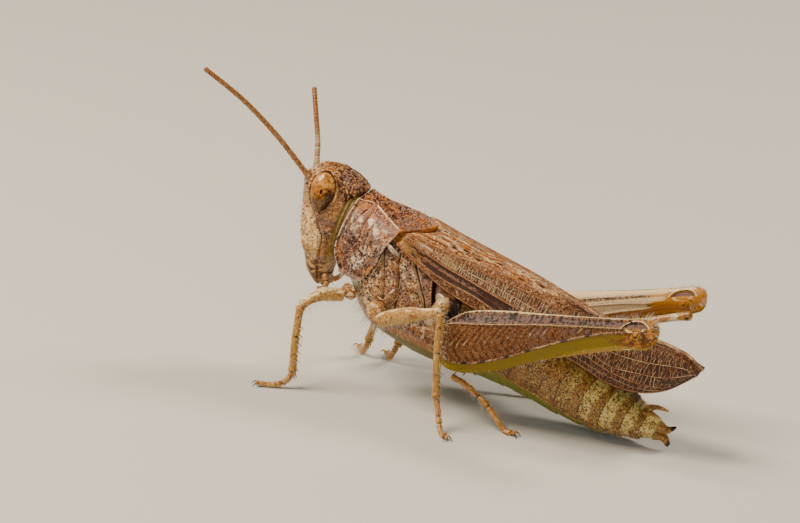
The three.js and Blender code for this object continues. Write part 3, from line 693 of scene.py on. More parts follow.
def build_mouth(colours, sizes):
    """Upper lip, jaws and lower lip as one soft-edged group under the capsule."""
    level = np.concatenate([np.linspace(MOUTH_LEVEL + 0.1, JAW_LEVEL, 120), np.full(10, JAW_LEVEL)])
    shrink = np.concatenate([np.ones(120), np.linspace(1, 0.05, 11)[1:]])[:, None]
    angle = turns(240)
    slant = MOUTH_SLANT * ease(-4.9, -4.2, level)[:, None]
    x, a, h = head_section(level[:, None], angle, slant, 0.07, shrink)
    h = h - 0.1 * (1 - shrink**2)
    side = np.abs(x)
    face = ease(0.1, 0.5, np.sin(angle))
    lip = 0.78 - 0.1 * ease(-4.4, -5.5, h)
    seams = (
        0.12 * glow(side - lip, 0.06) * face
        + 0.12 * glow(h + 4.78 - 0.1 * side, 0.05) * face * ease(lip, lip - 0.05, side)
        + 0.12 * glow(a + 0.95 + 0.25 * (h + 4.8), 0.06) * (1 - face)
        + 0.08 * glow(h + 5.05 + 0.25 * a, 0.05) * (1 - face)
        + 0.1 * glow(side, 0.05) * ease(-5.2, -5.5, h)
    )
    lift = 0.07 * spot(side, h, 0.0, -5.1, 0.6, 0.3) * face + 0.1 * spot(a, h, -1.3, -4.7, 0.35, 0.4)
    points, _ = raised(in_body(x, a, h), lift - seams)
    marks = {
        "dark": np.maximum(4.2 * seams, 0.8 * ease(-5.45, -5.62, h) * lumps(a, x, 0.2, 3)),
        "pale": 0.7 * blotches(a, h + x, 0.18, 17, 0.56),
        "green": 0.45 * blotches(h, a, 0.2, 18, 0.5) * (1 - face),
        "cool": 0.6 * blotches(a + x, h, 0.2, 20, 0.5),
        "warm": 0.7 * blotches(h, a + x, 0.2, 19, 0.6),
        "fleck": 0.6,
    }
    shell = cuticle(
        "Jaw cuticle", "#9A7040", "#6E4826",
        {"warm": "#7E4E28", "cool": "#8A6E5A", "green": "#94803A", "pale": "#D2B080", "dark": "#40230F"},
        pit=0.13, rough=0.4, depth=0.1,
    )
    Shape().tube(points, **marks).finish("jaws", shell, "mouth_shell", ["mouthparts"])


# The palps' stops in the body frame and half width: jaw palps outside, lip palps between them.
PALPS = (
    (((1.28, -0.5, -4.7), (1.33, -0.2, -5.05), (1.3, -0.24, -5.4), (1.12, -0.52, -5.8)), 0.135),
    (((0.45, -0.5, -5.3), (0.62, -0.45, -5.65), (0.5, -0.75, -5.9)), 0.1),
)
PALP_JOINTS = (0.28, 0.6)


def build_palps(colours, sizes):
    pale = cuticle(
        "Soft palp cuticle", "#B98F58", "#94683A", {"pale": "#DDC394", "dark": "#4A2A14"}, rough=0.35,
        depth=0.2,
    )
    for side, sign in SIDES:
        shape = Shape()
        for stops, half in PALPS:
            grid, t, _ = limb(
                body_path(sign, stops), lambda t: [half * knobs(t, PALP_JOINTS, -0.3, 0.035)] * 2, 90, 20,
                dome=0.09,
            )
            shape.tube(grid, dark=0.7 * rings_at(t, PALP_JOINTS, 0.03), pale=0.6 * ease(0.85, 1, t))
        shape.finish(f"palps_{side}", pale, "leg_cream", [f"palp_{side}"])


def build_eyes(colours, sizes):
    amber = eye_glass(colours)
    for side, sign in SIDES:
        share = np.linspace(1.03, 0.02, 70)[:, None] ** 0.8
        angle = turns(120)
        along = (EYE_LONG / 2) * share * np.sin(angle)
        across = (EYE_WIDE / 2) * share * np.cos(angle) * (1 + EYE_EGG * np.sin(angle))
        a = EYE_A - along * math.sin(EYE_LEAN) + across * math.cos(EYE_LEAN)
        h = EYE_H + along * math.cos(EYE_LEAN) + across * math.sin(EYE_LEAN)
        bulge = EYE_BULGE * np.sqrt(np.clip(1 - np.minimum(share, 1) ** 2.3, 0, 1)) - 0.1 * (share > 1)
        points = in_body(sign * (eye_seat(h) - 0.02 + bulge), a, h)
        rear = ease(-0.05, 0.2, across) * ease(0.35, 0.0, along)
        marks = {
            "speck": 0.85,
            "warm": 0.5 * ease(0.2, -0.2, across) * ease(-0.7, -0.3, along)
            * (0.5 + 0.5 * blotches(h, a, 0.16, 45, 0.45)),
            "green": 0.95 * ease(0.3, -0.4, along) * (0.5 + 0.5 * blotches(a, h, 0.14, 41, 0.42)),
            "pale": 0.85 * ease(0.0, 0.6, along) * blotches(a, h, 0.18, 42, 0.36),
            "dark": [
                spot(a, h, EYE_A + 0.02, EYE_H + 0.12, 0.09, 0.15),
                0.9 * rear * ease(0.6, 0.74, share) * (0.6 + 0.4 * lumps(a, h, 0.15, 5)),
                0.6 * ease(0.0, 0.25, across) * ease(0.5, 0.2, along) * blotches(a, h, 0.12, 44, 0.45),
                0.6 * rear * glow(share - 0.5, 0.07) * lumps(h, a, 0.3, 6),
                0.7 * ease(0.93, 0.99, share),
                0.6 * ease(0.1, -0.4, along) * blotches(a, h, 0.09, 43, 0.56),
            ],
            "fleck": 0.6,
        }
        Shape().tube(points, **marks).finish(f"eye_lens_{side}", amber, "eye_lens", [f"eye_{side}"])


def eye_glass(colours):
    """A compound eye: clear and glossy over mottled amber pigment, its facets far too fine to draw."""
    return cuticle(
        "Compound eye lens", colours.eye, "#7A4E20",
        {"warm": "#C68A34", "green": "#806022", "pale": "#CDA066", "dark": "#451E0C"},
        mottle=0.11, grain=0.06, pit=0.09, rough=0.4, relief=0.003, coat=0.8, coat_rough=0.03, shine=0.1,
        depth=0.1,
    )


# The feelers' stops in the standing frame. The left one reaches forwards and out, the right one up.
FEELERS = {
    "left": (
        (0.5, -5.02, 9.72), (0.64, -5.38, 10.1), (1.25, -6.89, 11.8), (2.1, -8.6, 13.48),
        (3.0, -10.51, 14.91),
    ),
    "right": (
        (-0.6, -5.16, 10.1), (-0.62, -5.24, 10.4), (-1.15, -5.5, 11.2), (-1.75, -5.98, 12.4),
        (-2.45, -6.5, 13.55),
    ),
}
FEELER_RINGS = 23
RING_SEAM = 0.004  # half width of the dark seam between two rings, as a share of the feeler


def build_feelers(colours, sizes):
    horn = cuticle(
        "Ringed feeler cuticle", colours.feeler, "#8E6030",
        {"warm": "#9A6428", "pale": "#C4AC86", "dark": "#5A3818"},
        mottle=0.15, grain=0.06, pit=0.08, rough=0.4, relief=0.01, depth=0.15,
    )
    half = sizes.feeler_width / 2 / MM
    joints = np.concatenate([[0.045, 0.085], np.linspace(0.085, 1, FEELER_RINGS + 1)[1:-1]])

    def size(t):
        root = 1 + 0.35 * ease(0.05, 0.04, t) + 0.12 * ease(0.09, 0.08, t)
        rings = 1 - 0.16 * rings_at(t, joints, RING_SEAM)
        return [half * root * rings * (1 - 0.12 * t)] * 2

    for side, _ in SIDES:
        grid, t, _ = limb([np.array(stop) + SHIFT for stop in FEELERS[side]], size, 520, 22, dome=0.012)
        tint = np.random.default_rng(7).random(len(joints) + 1)[np.searchsorted(joints, t[:, 0])][:, None]
        # The right feeler's extra paleness over the left one is painted light, because it reaches up into
        # the light.
        paleness = 0.75 if side == "right" else 0.4
        shape = Shape().tube(
            grid,
            dark=0.5 * rings_at(t, joints, RING_SEAM) + 0.3 * ease(0.93, 1.0, t),
            pale=paleness * (0.5 + 0.5 * tint) * ease(0.85, 0.3, t),
            warm=0.4 * (1 - tint),
            fleck=0.25,
        )
        shape.finish(f"feeler_{side}", horn, "feeler", [f"antenna_{side}"])


# ---- pronotum ----

LOBE_EDGE = 1.0
CARINA = 0.3  # place of the side ridge across the saddle
SADDLE_FRONT = ((0, 0), (0.3, -0.31), (0.45, -0.34), (0.65, -0.42), (0.85, -0.3), (LOBE_EDGE, 0.3))
SADDLE_REAR = (
    (0, PRONOTUM_LENGTH), (0.15, 3.35), (0.3, 2.6), (0.45, 2.43), (0.65, 2.1), (0.85, 1.95),
    (LOBE_EDGE, 1.45),
)
# Lines on the saddle's side as (a, h): the white ridge behind its break, and the three grooves.
RIDGE_REAR = ((0.76, -0.42), (1.47, -0.55), (2.14, -0.67), (2.6, -0.74))
GROOVES = (
    ((0.51, -0.51), (0.16, -1.2), (-0.02, -1.7)),
    ((0.72, -0.6), (0.62, -1.2), (0.66, -1.9), (0.5, -2.4)),
    ((1.2, -0.9), (1.02, -1.4), (1.05, -2.2), (1.2, -2.9)),
)
GROOVE_PLACES = (0.5, 1.0, 1.75)  # where grooves cross the top


def saddle(u, s):
    """x, a and h of the pronotum's outer skin: u from front to rear, s from keel to lobe."""
    a = mix(through(SADDLE_FRONT, s), through(SADDLE_REAR, s), u)
    back = (a + 0.35) / 2.8
    half = through([(-0.31, 0.85), (0.5, 0.64), (1.4, 1.1), (2.55, DISC_HALF), (3.9, DISC_HALF)], a)
    disc = through([(-0.31, -0.5), (0.5, -0.4), (1.4, -0.52), (2.55, -0.7), (3.9, -0.72)], a)
    x = through([
        (0, 0), (0.3, half), (0.45, mix(1.3, 2.0, back)), (0.65, mix(1.6, 2.1, back)),
        (0.85, mix(1.8, 2.1, back)), (LOBE_EDGE, mix(1.7, 2.0, back)),
    ], s)
    h = through([
        (0, keel_height(a)), (0.3, disc), (0.45, -1.0), (0.65, -1.95), (0.85, -3.1), (LOBE_EDGE, -4.05),
    ], s)
    return x, a, h


def saddle_surface(rows=165, half_columns=148):
    s = np.linspace(0, 1, half_columns)[None, :]
    u = np.linspace(0, 1, rows)[:, None]
    x, a, h = saddle(u, s + 0 * u)
    across = np.cumsum(np.hypot(np.diff(x, axis=1, prepend=0), np.diff(h, axis=1, prepend=h[:, :1])), 1)
    off_ridge = across - across[:, [int(CARINA * (half_columns - 1))]]
    on_top = ease(0.31, 0.27, s)
    lobe = ease(0.33, 0.4, s)
    gap = ease(0.12, 0.02, np.abs(a - 0.67))
    groove = sum(trace(a, h, line, 0.05) for line in GROOVES) * lobe
    top_groove = glow(a - GROOVE_PLACES[2], 0.05) + 0.7 * (
        glow(a - GROOVE_PLACES[0], 0.05) + glow(a - GROOVE_PLACES[1] - 0.1 * x, 0.05)
    ) * ease(0.1, 0.25, x)
    length = through(SADDLE_REAR, s) - through(SADDLE_FRONT, s)
    front, rear = u * length, (1 - u) * length
    hem = across[:, -1:] - across
    lift = (
        0.11 * glow(across, 0.07) * (1 - 0.5 * glow(a - GROOVE_PLACES[2], 0.08))
        + 0.06 * glow(off_ridge, 0.045) * (1 - 0.8 * gap) * ease(2.9, 2.2, a)
        - 0.07 * groove - 0.05 * top_groove * on_top
        + 0.05 * (glow(front - 0.05, 0.07) + glow(rear - 0.05, 0.07) + glow(hem - 0.06, 0.08))
        - 0.04 * (glow(front - 0.2, 0.06) + glow(hem - 0.24, 0.07)) * lobe
        + 0.05 * (lumps(a, h + across, 0.45, 12) - 0.5) * lobe
        + 0.035 * (lumps(a, across, 0.13, 13) - 0.5) * ease(1.5, 2.2, a)
    )
    return x, a, h, s, across, off_ridge, front, rear, hem, groove, lobe, on_top, lift


def build_pronotum(colours, sizes):
    x, a, h, s, across, off_ridge, front, rear, hem, groove, lobe, on_top, lift = saddle_surface()
    points = in_body(x, a, h)
    normals = outward(points, closed=False)
    normals = normals * np.sign(normals[..., 0] + normals[..., 2])[..., None]
    turn = np.minimum(s / 0.5, 1) * (math.pi / 2)
    inner = in_body(x - np.sin(turn) * PRONOTUM_THICK, a, h - np.cos(turn) * PRONOTUM_THICK)
    outer = points + normals * lift[..., None]
    white_ridge = trace(a, h, RIDGE_REAR, 0.006 + 0.04 * lumps(a, h, 0.2, 3)) * glow(off_ridge, 0.06)
    front_ridge = glow(off_ridge, 0.024) * ease(0.62, 0.5, a)
    wedge = (
        0.5 * on_top * glow(off_ridge + 0.22, 0.22) * ease(0.7, 1.0, a) * ease(2.3, 1.8, a)
        + lobe * ease(0.55, 0.3, off_ridge + 0.12 * a) * ease(0.02, 0.08, off_ridge) * ease(1.6, 1.2, a)
    )
    white = most([
        spot(a, h, 0.34, -1.11, 0.2, 0.2), spot(a, h, 0.96, -0.98, 0.34, 0.17),
        spot(a, h, 1.35, -1.25, 0.25, 0.25),
        0.9 * spot(a, h, 0.2, -1.75, 0.2, 0.25),
    ])
    marks = {
        "speck": 0.8,
        "warm": [
            0.85 * glow(rear, 0.07) * ease(0.5, 0.4, s),
            0.75 * lobe * glow(front - 0.3, 0.16) * blotches(a, h, 0.15, 50, 0.4),
            0.6 * lobe * ease(1.1, 1.5, a) * blotches(a, h, 0.12, 65, 0.5),
            0.6 * on_top * ease(0.9, 0.3, a) * blotches(a, across, 0.2, 49, 0.45),
            0.8 * lobe * spot(a, h, 1.45, -2.0, 0.45, 0.7) * blotches(a, h, 0.3, 51, 0.4),
            0.35 * on_top * ease(2.4, 3.2, a),
            0.7 * blotches(a, h + across, 0.16, 52, 0.6),
        ],
        "cool": [
            0.7 * lobe * ease(-1.5, -2.2, h) * blotches(a, h, 0.3, 47, 0.5),
            0.9 * lobe * spot(a, h, 1.9, -1.0, 0.4, 0.25),
            0.8 * on_top * spot(a, x, 2.7, 1.0, 0.8, 0.7) * blotches(a, x, 0.3, 53, 0.35),
            0.7 * lobe * blotches(a, h, 0.5, 54, 0.6),
        ],
        "pale": [
            white_ridge,
            0.85 * front_ridge,
            0.65 * glow(front - 0.03, 0.035),
            0.65 * glow(hem - 0.03, 0.045) * lumps(a, h, 0.4, 10),
            0.5 * glow(rear - 0.04, 0.045) * lobe,
            0.95 * white * blotches(a, h, 0.11, 55, 0.36),
            0.62 * lobe * ease(0.7, 0.2, off_line(a, h, ((1.25, -2.5), (0.95, -3.2))))
            * blotches(a, h, 0.1, 56, 0.42),
            0.7 * trace(a, h, GROOVES[0], 0.03) * lobe,
            0.5 * lobe * blotches(a, h, 0.14, 48, 0.58) * ease(-0.8, -1.0, h) * ease(-2.8, -2.0, h),
            0.5 * lobe * trace(a - 0.07, h, GROOVES[1], 0.03),
            0.5 * lobe * trace(a - 0.07, h, GROOVES[2], 0.03),
            0.45 * blotches(a, across, 0.08, 57, 0.66) * (0.4 + 0.6 * lobe),
            0.6 * glow(across, 0.05) * lumps(a, x, 0.3, 9),
        ],
        "dark": [
            0.85 * np.clip(wedge, 0, 1) * blotches(a, across, 0.12, 58, 0.3),
            0.7 * lobe * glow(off_ridge - 0.14, 0.16) * ease(1.9, 1.4, a)
            * blotches(a, across, 0.1, 62, 0.4),
            0.75 * lobe * trace(a, h, ((0.35, -2.1), (0.37, -2.85)), 0.28) * blotches(a, h, 0.16, 59, 0.45),
            0.6 * lobe * blotches(h, a, 0.13, 60, 0.6) * ease(-1.2, -1.8, h),
            0.5 * groove * blotches(a, h, 0.12, 63, 0.35),
            0.65 * on_top * blotches(a, across, 0.09, 61, 0.5) * ease(3.0, 2.0, a),
            0.45 * lobe * blotches(a, h, 0.1, 64, 0.6),
        ],
        "fleck": 0.3 + 0.6 * lobe * ease(-1.2, -2.2, h) + 0.45 * on_top * ease(1.6, 2.4, a),
    }

    def both(half, flip=1):
        """A half grid beside its mirror image."""
        return np.concatenate([(half * flip)[:, :0:-1], half], 1)

    outer, inner = (both(half - SHIFT, (-1, 1, 1)) + SHIFT for half in (outer, inner))
    marks = {name: both(np.broadcast_to(most(value), x.shape)) for name, value in marks.items()}
    shell = cuticle(
        "Pitted pronotum cuticle", colours.russet, "#6A3A20",
        {"warm": "#C08642", "cool": "#937568", "pale": "#EBD6BC", "dark": "#461F10"},
        mottle=0.085, pit=0.12, ragged=0.75, rough=0.42, relief=0.03, depth=0.08,
    )
    Shape().plate(outer, inner, **marks).finish("pronotum_saddle", shell, "pronotum_shell", ["pronotum"])


# ---- thorax ----

# Seams between the side plates as (a, h), and the line along the plates' lower edge.
PLATE_SEAMS = (
    ((1.95, -1.5), (2.12, -2.21), (2.64, -3.25), (2.97, -4.22), (3.0, -4.6)),
    ((2.9, -1.8), (3.0, -2.25), (3.37, -2.86), (3.62, -3.72), (3.75, -4.6)),
    ((3.75, -1.7), (3.87, -2.0), (4.41, -2.59), (5.02, -3.33), (5.3, -3.9)),
    ((4.95, -1.9), (5.1, -2.31), (5.35, -2.91), (5.6, -3.4)),
)
PLATE_FOOT = ((1.66, -4.6), (2.44, -4.78), (3.4, -4.75), (4.4, -4.7), (5.6, -4.5), (6.9, -4.4))


def trunk(at, lean, angle, shrink=0.0):
    """x, a and h round cuts of the trunk; a cut leans back by lean per unit of depth."""
    side, rise = soften(np.cos(angle), TRUNK_SQUARE), soften(np.sin(angle), TRUNK_SQUARE)
    a = at + 0 * angle
    for _ in range(4):
        belt = station(TRUNK, BELT, a)
        reach = np.where(rise > 0, station(TRUNK, TOP, a), station(TRUNK, UNDER, a))
        h = belt + (reach - belt) * np.abs(rise) * (1 - shrink)
        a = at - lean * (h - belt)
    return side * station(TRUNK, TRUNK_HALF, a) * (1 - shrink), a, h


def thorax_surface(rows=200, columns=300):
    at = np.linspace(-0.3, ABDOMEN_START - 0.02, rows)[:, None]
    angle = turns(columns)
    lean = WAIST_LEAN * np.clip((at - 1.6) / 2.3, 0, 1)
    x, a, h = trunk(at, lean, angle)
    seams = [off_line(a, h, line) for line in PLATE_SEAMS]
    near = np.min(seams, axis=0)
    foot = off_line(a, h, PLATE_FOOT)
    side = ease(0.9, 1.3, np.abs(x)) * ease(-5.6, -5.2, h)
    lift = (
        -0.13 * glow(near, 0.055) * side - 0.1 * glow(foot, 0.08) * side
        + 0.1 * ease(0.0, 0.4, np.minimum(near, foot)) * side
        + 0.06 * glow(near - 0.12, 0.05) * side
        + 0.04 * (lumps(a, h, 0.35, 71) - 0.5)
    )
    return *raised(in_body(x, a, h), lift), a, h, seams, near, foot, side


def build_thorax(colours, sizes):
    points, _, a, h, seams, near, foot, side = thorax_surface()
    venter = ease(-5.6, -6.1, h)
    marks = {
        "speck": 0.75,
        "warm": 0.65 * blotches(a, h, 0.25, 72, 0.5),
        "cool": 0.6 * blotches(h, a, 0.35, 73, 0.52) * side,
        "green": 0.95 * venter,
        "pale": [
            0.7 * glow(seams[1] - 0.07, 0.03) * side * ease(-2.4, -2.0, h),
            0.75 * glow(seams[2] - 0.07, 0.025) * side,
            0.5 * glow(seams[0] - 0.07, 0.03) * side,
            0.75 * ease(2.2, 1.8, a) * ease(-4.0, -4.5, h) * blotches(a, h, 0.3, 70, 0.4),
            0.5 * blotches(a, h, 0.16, 74, 0.6) * side,
            0.6 * ease(2.7, 2.3, a) * ease(-1.9, -2.4, h) * side * blotches(h, a, 0.14, 77, 0.45),
            0.6 * glow(foot - 0.1, 0.06) * side,
            0.7 * spot(a, h, 3.35, -2.3, 0.3, 0.35),
        ],
        "dark": [
            0.9 * glow(near, 0.032) * side,
            0.9 * glow(seams[3], 0.16) * side,
            0.9 * ease(6.0, 6.6, a) * side,
            0.42 * ease(-4.4, -5.1, h) * ease(4.6, 3.4, a),
            0.5 * glow(foot, 0.05) * side,
            0.5 * blotches(a, h, 0.14, 75, 0.62) * side,
        ],
        "fleck": np.clip(0.95 * side * ease(0.03, 0.14, near) * (1 - venter) + 0.1, 0, 1),
    }
    shell = cuticle(
        "Pitted side plate cuticle", colours.plates, "#7C4E2C",
        {"warm": "#A5703E", "cool": "#94766A", "green": "#7E7428", "pale": "#E0C8A0", "dark": "#3E2416"},
        mottle=0.09, pit=0.115, ragged=0.95, rough=0.42, relief=0.035, depth=0.08,
    )
    Shape().tube(points, **marks).finish("thorax_plates", shell, "side_plates", ["mesothorax", "metathorax"])


# Folds at the legs' roots and hinges under the wings: stops in the body frame and half width.
HIP_FOLDS = (
    (((1.95, 2.5, -4.28), (2.3, 2.9, -4.32), (2.3, 3.3, -4.2)), 0.2),
    (((2.1, 3.55, -3.3), (2.3, 3.42, -3.9), (2.25, 3.1, -4.5)), 0.3),
)
HINGES = (
    (((2.2, 5.45, -2.75), (2.5, 5.95, -2.85), (2.45, 6.3, -3.4)), 0.3),
    (((2.05, 2.2, -1.5), (2.26, 2.55, -1.58), (2.2, 3.0, -1.76)), 0.13),
)


def build_folds(name, folds, material):
    """Soft folds on both sides of the trunk, each bordered by a pale rim."""
    shape = Shape()
    for stops, half in folds:

        def size(t):
            full = half * (0.5 + 0.5 * np.sin(np.pi * t))
            return full * 0.5, full

        for sign in (1, -1):
            grid, _, turn = limb(body_path(sign, stops), size, 50, 36, dome=0.2)
            tall = np.abs(np.sin(turn))
            shape.tube(grid, pale=0.6 * glow(tall - 0.75, 0.14), dark=0.6 * ease(0.88, 1.0, tall), fleck=0.2)
    shape.finish(name, material, "side_plates")


def build_hips(colours, sizes):
    skin = cuticle(
        "Glossy hip skin", "#80582E", "#6A4522", {"pale": "#DCC08C", "dark": "#4A2C14"},
        mottle=0.2, rough=0.3, coat=0.5, depth=0.15,
    )
    horn = cuticle(
        "Pale hinge horn", "#B3A08C", "#8E7868", {"pale": "#F1E8D6", "dark": "#5A4636"},
        mottle=0.12, rough=0.35, coat=0.2, depth=0.15,
    )
    build_folds("hip_folds", HIP_FOLDS, skin)
    build_folds("wing_hinges", HINGES, horn)


# ---- wings ----

WING_TOP = (
    (2.4, -0.34), (4.5, -0.35), (7.6, -0.46), (9.5, -0.54), (11.1, -0.68), (13.4, -0.86), (16.1, -0.76),
    (17.8, -0.76), (WING_TIP, -1.16),
)
WING_SHOULDER = ((2.4, 1.62), (4.5, 1.5), (8, 1.25), (12, 1.0), (15, 0.8), (17.5, 0.62), (WING_TIP, 0.56))
WING_LOW_X = (
    (2.4, 2.02), (6, 2.3), (10, 2.15), (13.3, 1.75), (15, 1.5), (16.6, 1.25), (17.8, 0.95), (WING_TIP, 0.6),
)
WING_LOW_H = (
    (2.4, -1.25), (4.2, -1.85), (6, -2.35), (10, -2.75), (13.3, -3.05), (15, -3.4), (16.6, -3.2),
    (17.8, -2.55),
    (WING_TIP, -1.35),
)
WING_WIDTH = 4.2  # millimetres across the closed wing from its upper to its lower edge

# The long veins: half width, paleness, then stops as (a, v), v running from the back's middle to the
# lower edge.
VEINS = {
    "costa": (0.026, 0.3, (2.9, 0.985), (8, 0.985), (14, 0.985), (18.4, 0.985)),
    "subcosta": (
        0.026, 0.35, (2.9, 0.93), (3.91, 0.915), (5.97, 0.85), (7.31, 0.83), (8.33, 0.865), (9.6, 0.92),
        (10.8, 0.97),
    ),
    "radius": (
        0.034, 0.3, (2.8, 0.71), (3.31, 0.68), (5.12, 0.67), (6.66, 0.66), (8.48, 0.685), (9.69, 0.7),
        (12, 0.745), (13.4, 0.825), (14.79, 0.84), (16.6, 0.875), (17.6, 0.93),
    ),
    "sector": (
        0.022, 0.4, (9.69, 0.7), (11.2, 0.69), (13, 0.72), (14.57, 0.78), (16.12, 0.74), (17.74, 0.74),
        (18.6, 0.7),
    ),
    "media": (
        0.018, 0.45, (2.9, 0.6), (4, 0.585), (6, 0.56), (8, 0.565), (10.6, 0.59), (13, 0.62), (14.87, 0.6),
        (16.69, 0.56), (18.3, 0.5),
    ),
    "cubitus": (
        0.018, 0.3, (2.9, 0.55), (4.1, 0.5), (5.54, 0.46), (7.04, 0.46), (9.5, 0.44), (12.2, 0.42),
        (14.8, 0.4), (17.2, 0.32), (18.2, 0.25),
    ),
    "anal": (
        0.026, 0.3, (3.2, 0.47), (4.26, 0.45), (5.14, 0.425), (6.21, 0.405), (7.83, 0.33), (9.24, 0.305),
        (10.48, 0.26), (11.74, 0.075),
    ),
    "second_anal": (0.014, 0.15, (3.3, 0.34), (5.2, 0.3), (7.2, 0.22), (9, 0.15), (10.6, 0.06)),
    "third_anal": (0.012, 0.15, (3.4, 0.22), (5, 0.17), (6.6, 0.11), (8, 0.04)),
    "field_line": (0.014, 0.1, (3.6, 0.79), (5, 0.765), (7, 0.76), (8.6, 0.79), (9.6, 0.82)),
    "rear_upper": (0.012, 0.3, (10.5, 0.3), (13, 0.27), (16, 0.2), (17.8, 0.12)),
    "rear_lower": (0.012, 0.4, (11.5, 0.9), (13.5, 0.92), (15.2, 0.91), (17.4, 0.96)),
}
# Neighbouring veins, the stretch where cross-veins join them, their spacing, rows and paleness.
LADDERS = (
    ("cubitus", "media", 3.6, 11.0, 0.13, 1, 0.55), ("media", "radius", 3.4, 12.5, 0.12, 1, 0.85),
    ("cubitus", "media", 11.0, 18.0, 0.17, 3, 0.5), ("media", "sector", 12.2, 18.2, 0.17, 2, 0.5),
    ("sector", "radius", 11.0, 17.4, 0.2, 1, 0.6),
    ("radius", "costa", 10.6, 17.2, 0.22, 2, 0.4), ("subcosta", "costa", 3.6, 9.8, 0.22, 1, 0.2),
    ("anal", "cubitus", 4.2, 10.8, 0.17, 2, 0.2), ("second_anal", "anal", 3.9, 10.2, 0.3, 1, 0.1),
    ("rear_upper", "cubitus", 10.8, 17.8, 0.17, 2, 0.4),
)
WING_SPOTS = ((5.23, 0.26), (5.76, 0.2), (6.53, 0.27), (7.53, 0.11), (8.9, 0.22), (9.9, 0.12), (11.2, 0.3))


def wing_place(a, v):
    """x and h of the closed wing's outer skin."""
    top, shoulder = through(WING_TOP, a), through(WING_SHOULDER, a)
    low_x, low_h = through(WING_LOW_X, a), through(WING_LOW_H, a)
    drop = np.minimum(0.34, 0.2 * (top - low_h))
    x = through([
        (0, WING_PARTING), (0.2, 0.55 * shoulder), (0.4, shoulder), (0.6, mix(shoulder, low_x, 0.5)),
        (0.8, mix(shoulder, low_x, 0.85)), (1, low_x),
    ], v)
    h = through([
        (0, top), (0.2, top - 0.42 * drop), (0.4, top - drop), (0.6, mix(top, low_h, 0.42)),
        (0.8, mix(top, low_h, 0.7)), (1, low_h),
    ], v)
    return x, h


def wing_start(v):
    """Where the wing comes out from under the pronotum's rear edge."""
    a = np.full(np.shape(v), 3.0)
    for _ in range(8):
        x, h = wing_place(a, v)
        s = np.where(x < DISC_HALF, CARINA * x / DISC_HALF, CARINA + np.maximum(0, -0.75 - h) * 0.45)
        a = mix(a, through(SADDLE_REAR, s) + 4 * SEAM, 0.6)
    return a


def wing_skin(a, v, sign):
    """Points and outward normals of the wing's outer skin."""
    a, v = np.broadcast_arrays(np.asarray(a, float), np.asarray(v, float))
    x, h = wing_place(a, v)
    step = 0.02
    x_far, h_far = wing_place(a, np.clip(v + step, 0, 1))
    x_near, h_near = wing_place(a, np.clip(v - step, 0, 1))
    dx, dh = x_far - x_near, h_far - h_near
    size = np.maximum(np.hypot(dx, dh), 1e-9)
    return in_body(sign * x, a, h), body_turn(sign * -dh / size, dx / size)


def body_turn(x, h):
    """A direction square to the body's length, in the frame."""
    return stacked(x, h * math.sin(BODY_PITCH), h * math.cos(BODY_PITCH))


def vein_at(name, a):
    return through(VEINS[name][2:], a)


def between(v, low, high, edge=0.012):
    return ease(low - edge, low + edge, v) * ease(high + edge, high - edge, v)


